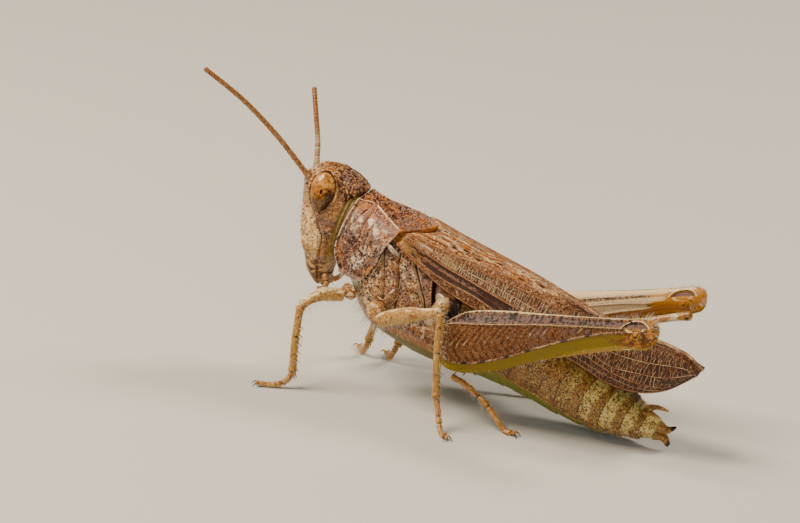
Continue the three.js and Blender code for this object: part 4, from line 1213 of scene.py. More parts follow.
def build_wings(colours, sizes):
    membrane = cuticle(
        "Leathery wing membrane", colours.wing, "#744C2C",
        {"warm": "#C58844", "cool": "#8C786A", "green": "#A8903E", "pale": "#EBD2AE", "dark": "#4E2E14"},
        mottle=0.1, pit=0.11, ragged=0.9, rough=0.42, relief=0.02, coat=0.1, depth=0.05,
    )
    horn = cuticle(
        "Pale wing vein", colours.vein, "#8E5E3C",
        {"warm": "#A0602E", "pale": "#E8D2AC", "dark": "#54301A"},
        mottle=0.12, rough=0.38, relief=0.008, depth=0.1,
    )
    v = np.linspace(0, 1, 120)[None, :]
    u = np.linspace(0, 1, 400)[:, None]
    starts = wing_start(v)
    a = mix(starts - 0.35, WING_TIP, u)
    tuck = 0.3 * ease(0.25, -0.15, a - starts)
    bands = {name: vein_at(name, a) for name in VEINS}
    off_radius = (v - bands["radius"]) * WING_WIDTH
    swell = (
        0.06 * glow(off_radius, 0.12) * ease(13, 10, a) + 0.05 * glow((v - bands["anal"]) * WING_WIDTH, 0.12)
        + 0.05 * glow((v - bands["subcosta"]) * WING_WIDTH, 0.12) * ease(11, 9, a)
        - 0.05 * between(v, bands["radius"], bands["subcosta"]) * ease(9.6, 8.0, a)
        + 0.02 * (lumps(a, v * WING_WIDTH, 0.2, 81) - 0.5)
    )
    rear = ease(9.5, 12.5, a)
    low_field = between(v, bands["radius"], bands["subcosta"]) * ease(10.5, 9.0, a)
    hem = ease(0, 0.03, v - bands["subcosta"]) * ease(11, 9.5, a)
    ladder = between(v, bands["cubitus"], bands["radius"]) * ease(4.2, 5.6, a)
    back = ease(0.0, -0.04, v - bands["anal"]) * ease(14, 12, a)
    spots = sum(spot(a, v, x, y, 0.22, 0.032) for x, y in WING_SPOTS)
    across = v * WING_WIDTH
    streak = trace(a, across, ((3.4, 0.52 * WING_WIDTH), (4.3, 0.545 * WING_WIDTH)), 0.09)
    grain = blotches(a, across, 0.09, 82, 0.5)
    fibres = blotches(a * 0.2, across, 0.08, 83, 0.5)
    dashes = (
        glow(v - mix(bands["radius"], bands["subcosta"], 0.42), 0.03) * ease(3.9, 4.5, a) * ease(7.6, 6.6, a)
        * blotches(a * 0.6, across, 0.1, 84, 0.35)
    )
    marks = {
        "speck": 0.75,
        "warm": [
            0.75 * back * fibres, 0.75 * ease(4.8, 3.5, a) * grain * (1 - low_field), 0.45 * hem * grain,
            0.9 * low_field * ease(5.4, 3.6, a) * (0.4 + 0.6 * fibres),
            0.6 * low_field * glow(v - bands["subcosta"] + 0.03, 0.02),
        ],
        "cool": [
            0.9 * low_field * dashes,
            0.55 * back * blotches(a * 0.5, across, 0.14, 87, 0.6), 0.4 * rear * grain,
            0.6 * ease(0.1, 0.0, v) * blotches(a * 0.5, across, 0.1, 79, 0.45),
        ],
        "green": [0.8 * ease(4.6, 3.6, a) * low_field * grain, 0.55 * ladder * ease(7.5, 5, a)],
        "pale": [
            streak, 0.6 * back * blotches(a * 0.25, across, 0.06, 85, 0.54), 0.35 * ease(0.965, 0.985, v),
            0.5 * rear * blotches(a * 0.5, across, 0.06, 86, 0.66),
            0.7 * ease(0.05, 0.01, v) * ease(14.5, 16, a) * lumps(a, v, 0.3, 80),
        ],
        "dark": [
            0.95 * np.clip(spots, 0, 1),
            0.8 * low_field * ease(2.8, 4.4, a + 1.2 * (fibres - 0.5)) * (1 - dashes),
            0.6 * glow((v - bands["radius"]) * WING_WIDTH + 0.1, 0.05) * ease(12, 10, a),
            0.65 * hem * (0.4 + 0.6 * grain) * ease(4.0, 5.2, a),
            0.6 * ladder * (0.6 + 0.4 * grain) * (1 - 0.5 * ease(6.5, 5, a)),
            0.8 * rear * (0.62 + 0.38 * grain) * ease(0.02, 0.12, v),
            0.5 * blotches(a * 0.35, across, 0.07, 90, 0.6) * (1 - rear),
            0.5 * back * glow(v - bands["anal"] + 0.05, 0.015),
        ],
        "fleck": 0.3 + 0.25 * back + 0.3 * rear,
    }
    for side, sign in SIDES:
        points, normals = wing_skin(a, v, sign)
        outer = points + normals * (swell - tuck)[..., None]
        inner = points - normals * (WING_SKIN + tuck)[..., None]
        middle = SHIFT[0] + sign * 0.01
        inner[..., 0] = np.maximum(inner[..., 0] * sign, middle * sign) * sign
        Shape().plate(outer, inner, **marks).finish(
            f"fore_wing_{side}", membrane, "wing", [f"tegmen_{side}"],
        )
        build_veins(f"fore_wing_veins_{side}", sign, horn, sizes.vein_width / MM)


def build_veins(name, sign, material, scale):
    """Long veins and the ladders of cross-veins between them, raised on the wing's skin."""
    shape = Shape()
    rng = np.random.default_rng(23)
    for half, paleness, *stops in VEINS.values():
        at = np.linspace(max(stops[0][0], 2.6), stops[-1][0], 170)
        v = through(stops, at)
        keep = at > wing_start(v) - 0.05
        at, v = at[keep], v[keep]
        points, normals = wing_skin(at, v, sign)
        size = half * scale * ease(at[-1] + 0.4, at[-1] - 2.5, at) * mix(1.15, 0.75, (at - 3) / 15)
        points = points + normals * (0.035 + 0.2 * size)[:, None]
        pale = paleness * (0.7 + 0.6 * lumps(at, v, 0.3, 24))
        shape.bars(points[None], np.maximum(size, 0.012), 8, pale=pale, warm=0.7 * (1 - paleness))
    t = np.linspace(0, 1, 6)[None, :]
    for low, high, start, stop, spacing, rows, paleness in LADDERS:
        count = int((stop - start) / spacing)
        for row in range(rows):
            at = start + spacing * (np.arange(count) + rng.uniform(-0.25, 0.25, count) + 0.5 * row)
            line = at[:, None] + (rng.uniform(-0.1, 0.1, count)[:, None] + 0.04) * t
            v = mix(vein_at(low, line), vein_at(high, line), (row + t) / rows)
            inside = (line > wing_start(v) + 0.05).all(1)
            points, normals = wing_skin(line[inside], v[inside], sign)
            size = scale * rng.uniform(0.008, 0.014, count)[inside][:, None]
            pale = paleness * rng.uniform(0.5, 1.1, count)[inside][:, None]
            shape.bars(points + normals * 0.02, size, 5, pale=pale, warm=0.8 * (1 - paleness))
    shape.finish(name, material, "wing")


FAN_FROM, FAN_TO = 5.7, 16.6
FAN_PLEATS = 9


def build_hind_wings(colours, sizes):
    """The hind wings, folded in pleats under the fore wings."""
    film = cuticle(
        "Smoky pleated film", "#9C8468", "#7A6248", {"pale": "#D8C4A0", "dark": "#3A2618"},
        mottle=0.4, rough=0.3, relief=0.01, coat=0.3,
    )
    a = np.linspace(FAN_FROM, FAN_TO, 90)[:, None]
    t = np.linspace(0, 1, 64)[None, :]
    half = (through(WING_SHOULDER, a) - 0.34) * mix(1, 0.86, ease(14.8, 15.4, a))
    x = SEAM + (half - SEAM) * t
    top = through(WING_TOP, a) - 0.64 - 0.14 * t**2
    pleat = 0.04 * np.cos(2 * np.pi * FAN_PLEATS * t)
    for side, sign in SIDES:
        outer, inner = in_body(sign * x, a, top - 0.04 + pleat), in_body(sign * x, a, top - 0.42)
        # A painted highlight lightens the pleats' crests and painted shade darkens their troughs.
        shape = Shape().plate(
            outer, inner, pale=0.8 * ease(0.02, 0.04, pleat), dark=0.4 * ease(0, -0.04, pleat),
        )
        shape.finish(f"hind_wing_{side}", film, "hind_wing", [f"hindwing_{side}"])


# ---- abdomen ----

RING = (ABDOMEN_END - ABDOMEN_START) / ABDOMEN_RINGS
RING_SEAMS = (5.4, 6.95, 8.6, 10.1, 11.6, 13.2, 14.45, 15.5, 16.5, 17.3, 18.4)


def abdomen_surface(rows=270, columns=240):
    at = np.concatenate(
        [np.linspace(ABDOMEN_START - 0.05, ABDOMEN_CLOSED, rows), np.full(12, ABDOMEN_CLOSED)]
    )[:, None]
    shrink = np.concatenate([np.full(rows, 0.015), np.linspace(0.015, 0.95, 13)[1:]])[:, None]
    angle = turns(columns)
    ring = (at - ABDOMEN_START) / RING
    lean = WAIST_LEAN * np.maximum(0, 1 - ring / 2)
    x, a, h = trunk(at + 0.12 * np.sqrt(shrink) * (shrink > 0.02), lean, angle, shrink)
    phase = np.interp(a + 0.1 * x**2, RING_SEAMS, range(len(RING_SEAMS))) % 1
    belt = station(TRUNK, BELT, a)
    fold = h - belt + 0.95 - 0.1 * ease(9, 14, a)
    lift = (
        0.045 * ease(0.0, 0.9, phase) - 0.02 - 0.06 * ease(0.96, 1.0, phase)
        - 0.08 * glow(fold, 0.07) + 0.05 * glow(fold - 0.2, 0.12)
        + 0.02 * (lumps(a, h, 0.3, 91) - 0.5)
    )
    return *raised(in_body(x, a, h), lift), a, h, phase, fold


def build_abdomen(colours, sizes):
    points, _, a, h, phase, fold = abdomen_surface()
    venter = ease(0.0, -0.25, fold)
    tail = ease(10.5, 15.0, a)
    flank = 1 - venter
    front = ease(0.72, 0.46, phase + 0.25 * (lumps(a, h, 0.25, 98) - 0.5))
    marks = {
        "speck": 0.85 - 0.25 * (1 - front),
        "warm": [0.5 * (1 - front) * flank * lumps(a, h, 0.3, 91), 0.5 * blotches(a, h, 0.2, 92, 0.55)],
        "cool": 0.4 * blotches(h, a, 0.3, 93, 0.6) * (1 - tail),
        "green": [
            0.95 * venter, 0.4 * tail * blotches(a, h, 0.3, 94, 0.5),
            0.5 * tail * front * ease(-1.2, -0.6, h + 4),
        ],
        "pale": [
            0.68 * tail * front * flank * (0.6 + 0.4 * blotches(a, h, 0.13, 95, 0.4))
            * ease(-0.1, 0.5, fold),
            0.5 * blotches(a, h, 0.08, 96, 0.62) * flank,
            0.4 * glow(fold - 0.12, 0.05) * lumps(a, h, 0.5, 5),
            0.4 * glow(phase - 0.05, 0.05) * flank,
        ],
        "dark": [
            0.85 * glow(phase - 0.985, 0.014) * (1 - 0.6 * venter),
            0.6 * blotches(h, a, 0.06, 97, 0.6) * flank,
            0.45 * glow(fold, 0.05), 0.5 * blotches(h, a, 0.12, 89, 0.6) * flank * ease(1.3, 0.3, fold),
            0.4 * (1 - front) * tail * flank * blotches(a, h, 0.1, 88, 0.45),
        ],
        "fleck": 0.75 * flank * front + 0.1,
    }
    belly = cuticle(
        "Abdomen ring cuticle", colours.belly, "#6A4620",
        {"warm": "#9A6C36", "cool": "#8F7455", "green": "#8C8A28", "pale": "#DCC683", "dark": "#4C2F14"},
        mottle=0.08, pit=0.1, ragged=0.8, rough=0.38, relief=0.02, coat=0.1, depth=0.1,
    )
    rings = [f"abdomen_{k + 1}" for k in range(ABDOMEN_RINGS)] + ["abdomen_tip"]
    Shape().tube(points, **marks).finish("abdomen_rings", belly, "belly_rings", rings)
    build_tail(belly)


def build_tail(belly):
    """The two cerci, and the four egg-laying valves with their dark hooked tips."""
    for side, sign in SIDES:
        path = body_path(sign, ((0.42, 16.8, -4.5), (0.55, 17.4, -4.2), (0.7, 18.0, -4.2)))
        grid, t, _ = limb(path, lambda t: [0.2 * (1 - 0.75 * t)] * 2, 50, 20, dome=0.05)
        shape = Shape().tube(grid, pale=0.5 * t, fleck=0.4)
        shape.finish(f"cercus_skin_{side}", belly, "belly_rings", [f"cercus_{side}"])
    for name, h, rise in (("upper", -4.82, 0.26), ("lower", -5.34, -0.24)):
        shape = Shape()
        for sign in (1, -1):
            path = body_path(sign, ((0.16, 17.8, h), (0.19, 18.3, h - rise * 0.25), (0.13, 18.72, h + rise)))
            grid, t, _ = limb(path, lambda t: (0.2 - 0.15 * t, 0.26 - 0.2 * t), 50, 20, dome=0.05)
            shape.tube(grid, dark=0.95 * ease(0.72, 0.88, t), pale=0.4 * ease(0.5, 0, t), fleck=0.3)
        shape.finish(f"egg_valves_{name}", belly, "belly_rings", [f"ovipositor_{name}"])


# ---- legs ----

SOLE = 0.16
FLOOR_GAP = 0.004  # how near the floor a foot's skin comes
# The walking legs: side, half thickness of the thigh, then the stops in the standing frame from the
# coxa by hip, bow, knee and ankle to the foot's tip. They are a left leg's, mirrored for a right one.
WALKERS = {
    "front_left": (
        1, 0.36, (1.5, -1.75, 5.0), (2.0, -2.0, 4.7), (2.8, -2.95, 4.72), (3.6, -3.7, 4.2), (4.1, -3.5, 0.8),
        (4.3, -3.72, 0.38), (4.62, -4.2, SOLE), (4.95, -4.85, SOLE),
    ),
    "front_right": (
        -1, 0.36, (1.5, -1.75, 5.0), (2.0, -1.95, 4.7), (2.85, -1.6, 4.9), (3.75, -1.3, 4.55),
        (2.95, -2.0, 0.8),
        (3.0, -2.15, 0.38), (3.3, -2.35, SOLE), (3.85, -2.7, SOLE),
    ),
    "middle_left": (
        1, 0.4, (2.52, -0.12, 4.98), (2.72, -0.05, 4.0), (3.4, 1.85, 4.96), (4.2, 3.72, 5.73),
        (4.62, 4.22, 1.45),
        (4.85, 4.48, 1.0), (5.3, 4.8, 0.4), (5.55, 5.0, SOLE), (5.95, 5.35, SOLE),
    ),
    "middle_right": (
        -1, 0.4, (2.52, -0.12, 4.98), (2.72, -0.05, 4.0), (3.3, 0.8, 4.75), (4.0, 1.7, 5.3),
        (3.0, -0.5, 0.9),
        (3.05, -0.65, 0.45), (3.3, -0.88, SOLE), (3.85, -1.2, SOLE),
    ),
}
FOOT_JOINTS = (0.4, 0.56)  # where a foot's three segments meet, as shares of its length
FOOT_PADS = (0.08, 0.2, 0.33, 0.48)


def leg_place(sign, stop):
    """A stop of a left leg in the frame, mirrored for a right leg."""
    return np.array(stop) * (sign, 1, 1) + SHIFT


def finish_leg(shape, leg, part, material, slot):
    """Makes one piece of a leg, in place of the solid of the same name."""
    shape.finish(f"{leg}_{part}_skin", material, slot, [f"{leg}_{part}"])


def leg_cuticles(colours):
    tints = {"warm": "#AE7430", "cool": "#94745E", "green": "#BC9A38", "pale": "#EAD6AE", "dark": "#4A2A14"}
    finish = {"mottle": 0.1, "pit": 0.12, "rough": 0.33, "relief": 0.012, "coat": 0.2, "depth": 0.2}
    cream = cuticle("Cream leg cuticle", colours.leg, "#A57A42", tints, **finish)
    return cream, cuticle("Ochre leg cuticle", "#BE9046", "#A07234", tints, **finish)


def claws(shape, tip, heading, wide):
    """Two hooked claws with a soft pad between them, at the end of a foot."""
    heading = unit(heading)
    aside = unit(np.cross(heading, (0, 0, 1.0)))
    t = np.linspace(0, 1, 9)
    hooks = []
    for turn in (1, -1):
        curve = tip + np.outer(0.36 * t, heading) + np.outer(turn * (0.05 + 0.2 * t), aside)
        curve[:, 2] += 0.1 * np.sin(np.pi * t) - (tip[2] - 0.03) * t**2
        hooks.append(curve)
    shape.bars(np.stack(hooks), wide * (0.42 - 0.36 * t), 8, dark=ease(0.35, 0.7, t), warm=0.5)
    pad = [tip - heading * 0.02, tip + heading * 0.1, tip + heading * 0.2 - (0, 0, 0.03)]
    grid, t, _ = limb(pad, lambda t: (0.09, 0.07), 24, 16, dome=0.4)
    grid[..., 2] = np.maximum(grid[..., 2], FLOOR_GAP)
    shape.tube(grid, pale=0.5, dark=0.4 * ease(0.3, 1, t))


def foot_skin(stops, wide):
    """A foot of three segments with pads beneath, ending in claws."""

    def size(t):
        swell = 1 + 0.12 * glow(t - 0.5, 0.05) + 0.14 * glow(t - 0.97, 0.04) - 0.16 * ease(0.56, 0.75, t)
        half = wide * knobs(t, FOOT_JOINTS, -0.34, 0.022) * swell
        return half, 0.9 * half

    grid, t, turn = limb(stops, size, 150, 26, dome=0.02)
    grid[..., 2] -= 0.2 * wide * rings_at(t, FOOT_PADS, 0.035) * ease(0.2, -0.6, np.sin(turn))
    grid[..., 2] = np.maximum(grid[..., 2], FLOOR_GAP)
    u, v = t * 2, turn * 0.2
    shape = Shape().tube(
        grid,
        dark=[0.7 * rings_at(t, FOOT_JOINTS, 0.014), 0.6 * blotches(u, v, 0.1, 101, 0.66)],
        pale=0.35 * blotches(u, v, 0.2, 102, 0.5),
        warm=0.6 * blotches(u, v, 0.15, 103, 0.55),
        fleck=0.3,
    )
    claws(shape, stops[-1], stops[-1] - stops[-2], wide)
    return shape


def spine_row(shape, roots, directions, length, half):
    """Stiff spines, cream at the root and black at the tip."""
    t = np.linspace(0, 1, 6)
    centres = roots[:, None] + directions[..., None, :] * (length * t)[:, None]
    shape.bars(
        centres, half * np.sqrt(1 - t * 0.985), 7, dark=ease(0.35, 0.6, t), pale=0.5 * ease(0.4, 0.1, t),
    )


def build_walking_legs(colours, sizes):
    cream, ochre = leg_cuticles(colours)
    for name, (sign, thick, *stops) in WALKERS.items():
        coxa, hip, bow, knee, ankle, *foot = (leg_place(sign, stop) for stop in stops)
        grid, t, turn = limb(
            [coxa, mix(coxa, hip, 0.5), hip], lambda t: (0.5 - 0.1 * t, 0.42 - 0.06 * t), 60, 32, (0, 1, 0),
            0.3,
        )
        v = turn * 0.4
        shape = Shape().tube(
            grid,
            pale=0.6 * blotches(t, v, 0.12, 104, 0.5),
            warm=0.8 * blotches(v, t, 0.12, 105, 0.46),
            cool=0.45 * blotches(v, t, 0.2, 106, 0.5),
            fleck=0.8,
        )
        finish_leg(shape, name, "coxa", cream, "leg_cream")

        def thigh_size(t):
            swell = thick * (0.8 + 0.27 * np.sin(np.pi * np.minimum(1, t * 1.3)) - 0.14 * t)
            swell = swell * knobs(t, (0.97,), 0.18, 0.05)
            return swell, swell * 0.88

        grid, t, turn = limb([mix(hip, bow, 0.02), bow, knee], thigh_size, 150, 40, (0, 0, 1), 0.05)
        up, v = np.cos(turn), turn * 0.4
        band = blotches(t * 3, v, 0.3, 107, 0.5)
        grid, _ = raised(grid, 0.03 * glow(np.cos(turn - 1.1) - 1, 0.02) - 0.015 * band)
        shape = Shape().tube(
            grid,
            pale=[
                0.95 * ease(0.25, 0.8, up) * ease(0.3, 0.55, lumps(t * 3, turn, 0.3, 108)),
                0.4 * ease(0.9, 0.97, t),
            ],
            green=0.8 * ease(-0.2, -0.8, up),
            cool=0.6 * band * ease(-0.5, -0.1, up) * ease(0.6, 0.2, up) * blotches(v, t * 4, 0.15, 114, 0.5),
            warm=0.7 * band * ease(0.5, -0.2, up),
            dark=[0.6 * blotches(t * 5, v, 0.1, 109, 0.68), 0.5 * glow(t - 0.93, 0.012)],
            fleck=0.5,
        )
        finish_leg(shape, name, "femur", cream, "leg_cream")

        shin = ankle - knee
        middle = mix(knee, ankle, 0.45) + unit(np.cross(shin, (1.0, 0.0, 0.0))) * 0.06
        grid, t, turn = limb(
            [knee, middle, ankle], lambda t: [0.19 * knobs(t, (0.03, 0.97), 0.25, 0.05)] * 2, 130, 28,
        )
        ring = glow(t - 0.16, 0.03) + glow(t - 0.45, 0.02) + glow(t - 0.7, 0.025)
        u, v = t * 4, turn * 0.2
        shape = Shape().tube(
            grid,
            pale=0.55 * glow(np.abs(np.sin(turn)) - 1, 0.25) * lumps(u, v, 0.2, 110),
            warm=0.65 * blotches(v, u, 0.12, 111, 0.56),
            green=0.6 * blotches(t * 2, turn, 0.5, 113, 0.4),
            dark=0.3 * ring + 0.65 * blotches(u, v, 0.09, 112, 0.68),
            fleck=0.4,
        )
        away = unit(shin)
        back = unit(np.array((0.0, 1.0, 0.0)) - away * away[1])
        for aside in (1, -1):
            lean = back * 0.8 + np.array((aside * 0.6, 0, 0))
            roots = knee + shin * np.linspace(0.32, 0.93, 6)[:, None] + lean * 0.15
            spine_row(shape, roots, away * 0.7 + lean * 0.7, 0.26, 0.03)
            spurs = np.stack([ankle + lean * 0.14, ankle - lean * 0.05 + np.array((aside * 0.15, 0, 0))])
            spine_row(shape, spurs, away * 0.85 + lean * 0.4, 0.32, 0.04)
        finish_leg(shape, name, "tibia", ochre, "leg_ochre")
        finish_leg(foot_skin([ankle, *foot], 0.16), name, "tarsus", cream, "leg_cream")


# The hind thigh along its length: upper edge, lower edge and half width.
THIGH_TOP = (
    (0, 4.62), (0.06, 5.25), (0.13, 5.73), (0.27, 6.14), (0.45, 6.49), (0.64, 6.87), (0.83, 7.29),
    (0.93, 7.6), (1, 7.5),
)
THIGH_UNDER = (
    (0, 3.2), (0.06, 2.75), (0.15, 2.76), (0.3, 3.28), (0.47, 4.26), (0.65, 5.16), (0.83, 5.92),
    (0.93, 6.12), (1, 6.45),
)
THIGH_WIDE = (
    (0, 0.36), (0.1, 0.58), (0.3, 0.68), (0.5, 0.6), (0.7, 0.44), (0.85, 0.42), (0.94, 0.46), (1, 0.36),
)
THIGH_FROM, THIGH_TO = 3.45, 14.6
THIGH_X = (2.98, 3.4)
THIGH_CAPS = (0.03, 0.025)  # shares of the thigh that its two rounded ends take up
SHIN_GROOVE = 0.42
SPINE_LONG = 0.34  # millimetres, at life size
# Ridges of the outer face as (t, w): t along the thigh, w from its lower edge -1 to its upper edge 1.
UPPER_RIDGE = (
    (0.0, 0.92), (0.017, 0.9), (0.152, 0.68), (0.444, 0.68), (0.616, 0.63), (0.789, 0.53), (0.9, 0.5),
)
LOWER_RIDGE = (
    (0.0, -0.5), (0.068, -0.66), (0.149, -0.67), (0.238, -0.62), (0.341, -0.52), (0.43, -0.43),
    (0.584, -0.17),
    (0.737, 0.12), (0.88, 0.2),
)
CHEVRON_TIPS = (
    (0.0, -0.1), (0.111, -0.08), (0.228, 0.01), (0.344, 0.07), (0.456, 0.13), (0.567, 0.25), (0.8, 0.38),
)
CHEVRON_STEP = 0.36
CHEVRON_SLANT = 0.72
RIDGE_SPOTS = (0.149, 0.232, 0.341, 0.433, 0.586, 0.69)
# The same for the two ridges of the inner face, then the knee's crescent window and its knob.
INNER_UPPER = ((0.0, 0.6), (0.4, 0.5), (0.62, 0.43), (0.74, 0.28), (0.8, 0.2))
INNER_LOWER = ((0.0, -0.1), (0.4, -0.05), (0.62, -0.05), (0.74, -0.1), (0.8, -0.05))
KNEE_WINDOW = (0.897, 0.5, 0.6, 0.27)
KNEE_KNOB = (0.912, -0.14, 0.36, 0.3)
# The hind shin's stops from knee to ankle. A far leg is set back and sinks towards its ankle.
HIND_SHIN = ((3.0, 14.1, 6.22), (2.94, 12.0, 5.58), (2.84, 8.0, 4.0), (2.74, 6.0, 3.1), (2.72, 4.6, 2.62))
KNEE_Y, SHIN_RUN = 14, 10.5
# The hind legs: side, how far each is set back, how far it sinks, and the stops of its foot.
HIND_LEGS = {
    "hind_left": (
        1, 0.0, 0.0, (2.76, 4.3, 2.16), (2.85, 5.12, 1.92), (2.95, 6.22, 1.28), (3.05, 7.02, 0.6),
        (3.12, 7.5, SOLE), (3.2, 7.95, SOLE),
    ),
    "hind_right": (
        -1, 0.45, 0.8, (2.76, 4.65, 1.42), (2.85, 5.3, 1.2), (2.95, 6.2, 0.8), (3.05, 7.0, 0.4),
        (3.15, 7.5, SOLE), (3.25, 8.0, SOLE),
    ),
}


def hind_path(sign, back, sink, stops):
    """Stops of a hind leg in the frame."""
    return [leg_place(sign, (x, y + back, z - sink * max(0, (KNEE_Y - y) / SHIN_RUN))) for x, y, z in stops]


def thigh_grid(sign, back, sink):
    """The hind thigh's skin: points, t, w, whether each column is on the outer face, and half height."""
    cap = np.linspace(0, 1, 10) ** 2
    t = np.unique(
        np.concatenate([np.linspace(0, 1, 300), THIGH_CAPS[0] * cap, 1 - THIGH_CAPS[1] * cap])
    )[:, None]
    low, high = through(THIGH_UNDER, t), through(THIGH_TOP, t)
    middle, half, wide = (low + high) / 2, (high - low) / 2, through(THIGH_WIDE, t)
    w_out = np.linspace(1, -1, 120)[None, :] + 0 * t
    flange = np.minimum(0.42, 0.9 * wide)
    x_out = through([
        (-1, flange), (-0.8, 0.76 * wide), (-0.35, wide), (0.2, wide), (0.78, 0.75 * wide), (1, 0.1),
    ], w_out)
    # The lower edge folds in to the groove that takes the shin, then the inner face runs back up.
    base = -1 + np.minimum(SHIN_GROOVE, half) / half
    k = np.linspace(0, 1, 8)[None, 1:] + 0 * t
    share = np.linspace(0, 1, 40)[None, :] + 0 * t
    x_in = -wide * np.sqrt(np.clip(1 - (2 * share - 1) ** 2 * 0.96, 0, 1)) * 0.95
    x = np.concatenate([x_out, mix(flange, 0.16, k), 0.12 + 0 * k, x_in], 1)
    w = np.concatenate([w_out, -1.02 + 0 * k, mix(-1.0, base, k), mix(base, 1, share)], 1)
    outer = np.arange(x.shape[1])[None, :] < w_out.shape[1]
    closing = domed(t, *THIGH_CAPS)
    y = mix(THIGH_FROM, THIGH_TO, t) + back
    z = middle + w * half * closing - sink * (1 - t)
    points = stacked(sign * (mix(THIGH_X[0], THIGH_X[1], t) + x * closing), y, z) + SHIFT
    return points, t + 0 * x, w, outer + 0.0 * x, half


